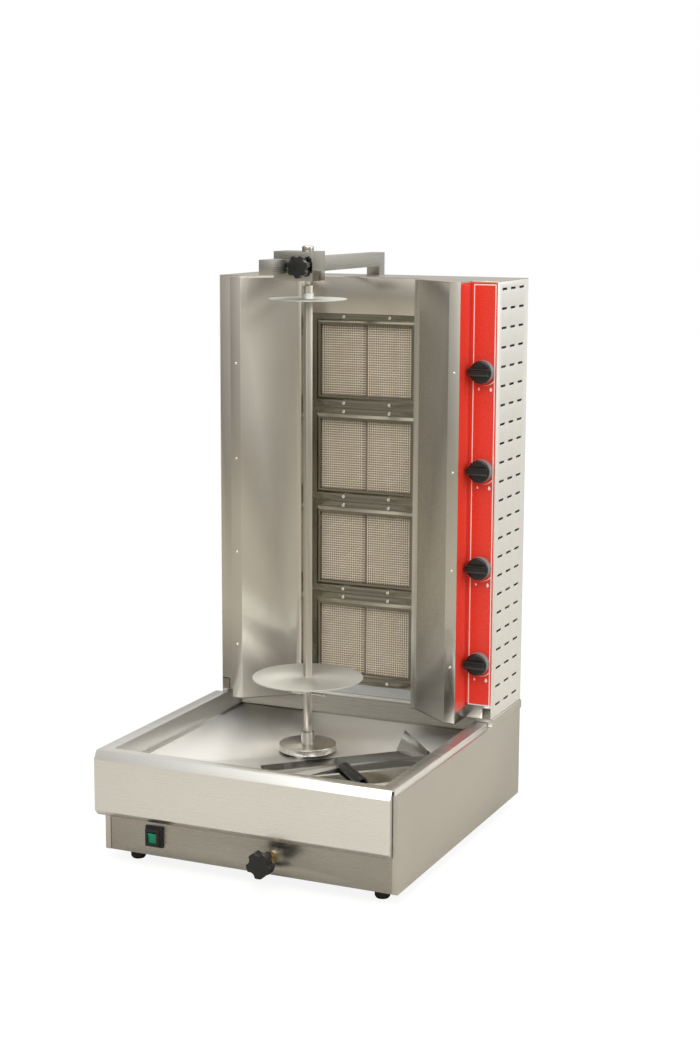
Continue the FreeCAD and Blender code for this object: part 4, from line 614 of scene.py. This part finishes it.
def woven_tree():
    """One panel of woven wire: upright wires, level wires, then both moved to their corner."""
    tree, add, given = new_tree("woven_wire", (
        ("Width", "NodeSocketFloat", 0.09),
        ("Height", "NodeSocketFloat", 0.13),
        ("Pitch", "NodeSocketFloat", 0.0028),
        ("Wire", "NodeSocketFloat", 0.0004),
        ("Corner", "NodeSocketVector", None),
        ("Finish", "NodeSocketMaterial", None),
    ))

    def sums(operation, *terms):
        return add("ShaderNodeMath", dict(enumerate(terms)), operation=operation).outputs[0]

    circle = {"Resolution": WIRE_SIDES, "Radius": given["Wire"]}
    profile = add("GeometryNodeCurvePrimitiveCircle", circle).outputs[0]
    crimp = sums("MULTIPLY", given["Wire"], CRIMP)
    both = []
    for along, across, turn in (("Height", "Width", 0.0), ("Width", "Height", 1.0)):
        crossings = sums("DIVIDE", given[along], given["Pitch"])
        wires = sums("DIVIDE", given[across], given["Pitch"])
        straight = {"X" if turn else "Z": given[along]}
        end = add("ShaderNodeCombineXYZ", straight).outputs[0]
        line = add("GeometryNodeCurvePrimitiveLine", {"End": end}).outputs[0]
        cut = {"Curve": line, "Count": crossings}
        steps = add("GeometryNodeResampleCurve", cut, mode="COUNT").outputs[0]
        index = add("GeometryNodeInputIndex").outputs[0]
        odd = sums("MODULO", index, 2.0)
        swing = sums("MULTIPLY_ADD", odd, 2.0, -1.0)
        push = sums("MULTIPLY", swing, crimp)
        shift = add("ShaderNodeCombineXYZ", {"Y": push}).outputs[0]
        bent = add("GeometryNodeSetPosition", {"Geometry": steps, "Offset": shift}).outputs[0]
        wire = add("GeometryNodeCurveToMesh", {"Curve": bent, "Profile Curve": profile}).outputs[0]
        step = add("ShaderNodeCombineXYZ", {"Z" if turn else "X": given["Pitch"]}).outputs[0]
        row = add("GeometryNodeMeshLine", {"Count": wires, "Offset": step}).outputs[0]
        flip = sums("MULTIPLY_ADD", odd, math.pi, math.pi * turn)
        # Turning a wire about its own line swaps its bends forwards and backwards.
        spin = add("ShaderNodeCombineXYZ", {"X" if turn else "Z": flip}).outputs[0]
        copies = {"Points": row, "Instance": wire, "Rotation": spin}
        both.append(add("GeometryNodeInstanceOnPoints", copies).outputs[0])
    join = add("GeometryNodeJoinGeometry")
    for part in both:
        tree.links.new(part, join.inputs[0])
    corner = {"Geometry": join.outputs[0], "Translation": given["Corner"]}
    moved = add("GeometryNodeTransform", corner).outputs[0]
    real = add("GeometryNodeRealizeInstances", {"Geometry": moved}).outputs[0]
    dress = {"Geometry": real, "Material": given["Finish"]}
    dressed = add("GeometryNodeSetMaterial", dress).outputs[0]
    tree.links.new(dressed, add("NodeGroupOutput").inputs[0])
    return tree


def run_tree(tree, name, values):
    """Runs a tree on an empty mesh with the given inputs and returns the result as a plain mesh."""
    host = bpy.data.objects.new(name, bpy.data.meshes.new(name))
    bpy.context.scene.collection.objects.link(host)
    modifier = host.modifiers.new(name, "NODES")
    modifier.node_group = tree
    for item in tree.interface.items_tree:
        if item.in_out == "INPUT" and item.name in values:
            modifier[item.identifier] = values[item.name]
    bpy.context.view_layer.update()
    made = host.evaluated_get(bpy.context.evaluated_depsgraph_get())
    mesh = bpy.data.meshes.new_from_object(made)
    bpy.data.objects.remove(host)
    return mesh


WIRE_STEEL, wire_shader = new_finish("wire_steel", (0.85, 0.78, 0.65), metallic=0.2, roughness=0.55)
patches = grain(WIRE_STEEL, (60, 60, 60), detail=3.0)
WIRE_STEEL.node_tree.links.new(
    tinted(WIRE_STEEL, between(WIRE_STEEL, patches, 0, 1), (0.92, 0.84, 0.70), (0.78, 0.70, 0.57)),
    wire_shader.inputs["Base Color"],
)

WIRE_PITCH = 4.3 * MM
WIRE_RADIUS = 0.66 * MM
PANEL_GAP = 2.6 * MM
PANEL_HEIGHT = 131 * MM
PANEL_BACK = 0.5 * MM
BURNERS = 4


def make_wire_mesh():
    tree = woven_tree()
    low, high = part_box("burner_meshes")
    total = 0
    for count in range(BURNERS):
        frame_low, frame_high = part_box(f"burner_frame_{count + 1}")
        middle = (frame_low.z + frame_high.z) / 2
        for side, sign in (("left", -1), ("right", 1)):
            width = (high.x - low.x) / 2 - PANEL_GAP
            centre = (low.x + high.x) / 2
            start = centre + PANEL_GAP if sign > 0 else low.x
            mesh = run_tree(tree, "weave", {
                "Width": width,
                "Height": PANEL_HEIGHT,
                "Pitch": WIRE_PITCH,
                "Wire": WIRE_RADIUS,
                "Corner": (start, (low.y + high.y) / 2 + PANEL_BACK, middle - PANEL_HEIGHT / 2),
                "Finish": WIRE_STEEL,
            })
            mesh.materials.clear()
            name = f"burner_mesh_{count + 1}_{side}"
            add_piece(name, mesh, WIRE_STEEL, "housing", "mesh_wire", "burner_meshes")
            total += len(mesh.polygons)
    print("wire mesh faces:", total)


make_wire_mesh()

# %% [markdown]
# ## Shapes turned and drawn in mesh code
#
# A knob is a turned shape, so its outline is spun round an axis. A printed line is a flat strip.
# Both are needed several times, so they are written once here. Everything is built straight in the
# object's own place, because a finished piece keeps its object at the origin.

# %% Turned and drawn shapes
FRONT = -1
TURN_STEPS = 64
ON_AXIS = 0.01 * MM


def turned_mesh(shape, outline, centre):
    """Spins an outline of (radius, distance) points round a front-to-back axis, ends closed."""
    rings = []
    for radius, along in outline:
        if radius < ON_AXIS:
            rings.append([shape.verts.new((centre.x, centre.y + FRONT * along, centre.z))])
            continue
        ring = []
        for step in range(TURN_STEPS):
            turn = 2 * math.pi * step / TURN_STEPS
            across, upwards = radius * math.cos(turn), radius * math.sin(turn)
            place = (centre.x + across, centre.y + FRONT * along, centre.z + upwards)
            ring.append(shape.verts.new(place))
        rings.append(ring)
    for first, second in zip(rings, rings[1:]):
        for step in range(TURN_STEPS):
            after = (step + 1) % TURN_STEPS
            corners = [first[step % len(first)], first[after % len(first)],
                       second[after % len(second)], second[step % len(second)]]
            corners = list(dict.fromkeys(corners))
            if len(corners) > 2:
                shape.faces.new(corners)


def drawn_bar(shape, section, left, right):
    """Carries a closed section of (y, z) points from left to right and closes both ends."""
    first, second = ([shape.verts.new((x, y, z)) for y, z in section] for x in (left, right))
    for index in range(len(section)):
        after = (index + 1) % len(section)
        shape.faces.new((first[index], first[after], second[after], second[index]))
    shape.faces.new(first)
    shape.faces.new(second[::-1])


def close_shape(shape, name):
    """Turns the faces outwards and hands the shape over as a mesh."""
    bmesh.ops.recalc_face_normals(shape, faces=shape.faces)
    mesh = bpy.data.meshes.new(name)
    shape.to_mesh(mesh)
    shape.free()
    finish_mesh(mesh)
    return mesh


# %% [markdown]
# ## Control knobs
#
# Each burner has its own valve, and each valve a round black knob that the cook turns with finger
# and thumb. A raised bar crosses the knob's face; its two long edges are lipped, so that the grip
# doesn't slip, and it sticks out a little past the rim on one side, to point at the flame marks.
# The rim and the bar are two outlines, one spun and one drawn along.

# %% Control knobs
KNOB_DRUM = 20.4 * MM
KNOB_POINTER = 20.6 * MM
KNOB_BAR = 6.6 * MM
KNOB_SEAT = 144.0 * MM
CAP_RIM = 11 * MM
RIM_ANGLES = (18, 36, 54, 72, 90)


def make_knob(count):
    """A pale collar and a black cap with its grip bar, in place of one plain CAD knob."""
    low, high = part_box(f"control_knob_{count}")
    centre = Vector(((low.x + high.x) / 2, KNOB_SEAT, (low.z + high.z) / 2))
    face = centre.y - low.y
    drum = bmesh.new()
    turned_mesh(drum, (
        (0, 0.4 * MM),
        (KNOB_DRUM - 0.6 * MM, 0.4 * MM),
        (KNOB_DRUM, 1.2 * MM),
        (KNOB_DRUM - 0.4 * MM, face - CAP_RIM),
    ), centre)
    rim, rise = KNOB_DRUM - 0.4 * MM, face - CAP_RIM
    edge = [(rim, rise)]
    for turn in map(math.radians, RIM_ANGLES):
        edge.append((rim - 3.2 * MM * (1 - math.cos(turn)), rise + 3.4 * MM * math.sin(turn)))
    cap = bmesh.new()
    turned_mesh(cap, (*edge, (9 * MM, face - 8.4 * MM), (0, face - 8.6 * MM)), centre)
    front, back = low.y, centre.y - face + 12 * MM
    section = (
        (back, centre.z - KNOB_BAR - 0.7 * MM),
        (front + 1.4 * MM, centre.z - KNOB_BAR),
        (front + 0.3 * MM, centre.z - KNOB_BAR + 0.5 * MM),
        (front, centre.z - KNOB_BAR + 1.3 * MM),
        (front + 0.5 * MM, centre.z - KNOB_BAR + 2.2 * MM),
        (front + 1.7 * MM, centre.z - KNOB_BAR + 3.4 * MM),
        (front + 2.0 * MM, centre.z),
        (front + 1.7 * MM, centre.z + KNOB_BAR - 3.4 * MM),
        (front + 0.5 * MM, centre.z + KNOB_BAR - 2.2 * MM),
        (front, centre.z + KNOB_BAR - 1.3 * MM),
        (front + 0.3 * MM, centre.z + KNOB_BAR - 0.5 * MM),
        (front + 1.4 * MM, centre.z + KNOB_BAR),
        (back, centre.z + KNOB_BAR + 0.7 * MM),
    )
    drawn_bar(cap, section, centre.x - KNOB_POINTER, centre.x + KNOB_DRUM - 3.5 * MM)
    body = f"valve_knob_{count}"
    add_piece(f"knob_collar_{count}", close_shape(drum, "knob_collar"), KNOB_COLLAR, body,
              "black_plastic")
    add_piece(f"knob_cap_{count}", close_shape(cap, "knob_cap"), BLACK_PLASTIC, body,
              "black_plastic", f"control_knob_{count}")


for knob_count in range(1, BURNERS + 1):
    make_knob(knob_count)
print("control knobs made:", BURNERS)

# %% [markdown]
# ## What is printed on the red labels
#
# The label beside the burners carries a thin white frame, and under each knob a swelling arc that
# runs from low to high flame, with a small and a large plain flame mark. They are shapes only
# 0.15 mm thick, sunk a little into the label's face, so that they stay sharp from any distance.

# %% Printed frame, arcs and flame marks
PRINT_FRONT = 143.9 * MM
PRINT_BACK = 144.05 * MM
FRAME_LINE = 1.7 * MM
ARC_RADIUS = 24.4 * MM
ARC_SWELL = 1.7 * MM
FLAME_DROP = 30.5 * MM
FLAME_STEPS = 16
# Distance to the right of the knob's axis, and half height.
FLAMES = ((-8 * MM, 2.6 * MM), (14 * MM, 3.8 * MM))


def printed(shape, corners):
    """A thin printed patch from its corners, given as (x, z) in metres."""
    front = [shape.verts.new((x, PRINT_FRONT, z)) for x, z in corners]
    back = [shape.verts.new((x, PRINT_BACK, z)) for x, z in corners]
    shape.faces.new(front)
    shape.faces.new(back[::-1])
    for index in range(len(corners)):
        after = (index + 1) % len(corners)
        shape.faces.new((front[index], back[index], back[after], front[after]))


def make_print():
    low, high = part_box("red_labels")
    left, right = low.x + 5.2 * MM, high.x - 2.0 * MM
    bottom, top = low.z + 4 * MM, high.z - 3 * MM
    line = FRAME_LINE
    shape = bmesh.new()
    for x in (left, right - line):
        printed(shape, ((x, bottom), (x + line, bottom), (x + line, top), (x, top)))
    for z in (bottom, top - line):
        inner_left, inner_right = left + line, right - line
        printed(shape, (
            (inner_left, z), (inner_right, z), (inner_right, z + line), (inner_left, z + line),
        ))
    for count in range(1, BURNERS + 1):
        knob_low, knob_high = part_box(f"control_knob_{count}")
        x, z = (knob_low.x + knob_high.x) / 2, (knob_low.z + knob_high.z) / 2
        arc = [math.radians(angle) for angle in range(-92, -39, 4)]
        radius = ARC_RADIUS
        outer = []
        for index, turn in enumerate(arc):
            wide = radius + ARC_SWELL * index / (len(arc) - 1)
            outer.append((x + wide * math.cos(turn), z + wide * math.sin(turn)))
        inner = [(x + radius * math.cos(turn), z + radius * math.sin(turn)) for turn in arc]
        printed(shape, inner + outer[::-1])
        for aside, tall in FLAMES:
            middle, base = x + aside, z - FLAME_DROP
            flame = []
            for step in range(FLAME_STEPS):
                turn = 2 * math.pi * step / FLAME_STEPS
                lean = 1 - 0.55 * max(0.0, math.sin(turn))
                across = tall * 0.62 * lean * math.cos(turn)
                flame.append((middle + across, base + tall * math.sin(turn)))
            printed(shape, flame)
    mesh = close_shape(shape, "label_print")
    add_piece("label_print", mesh, WHITE_PRINT, "housing", "red_vinyl")
    print("printed faces:", len(mesh.polygons))


make_print()
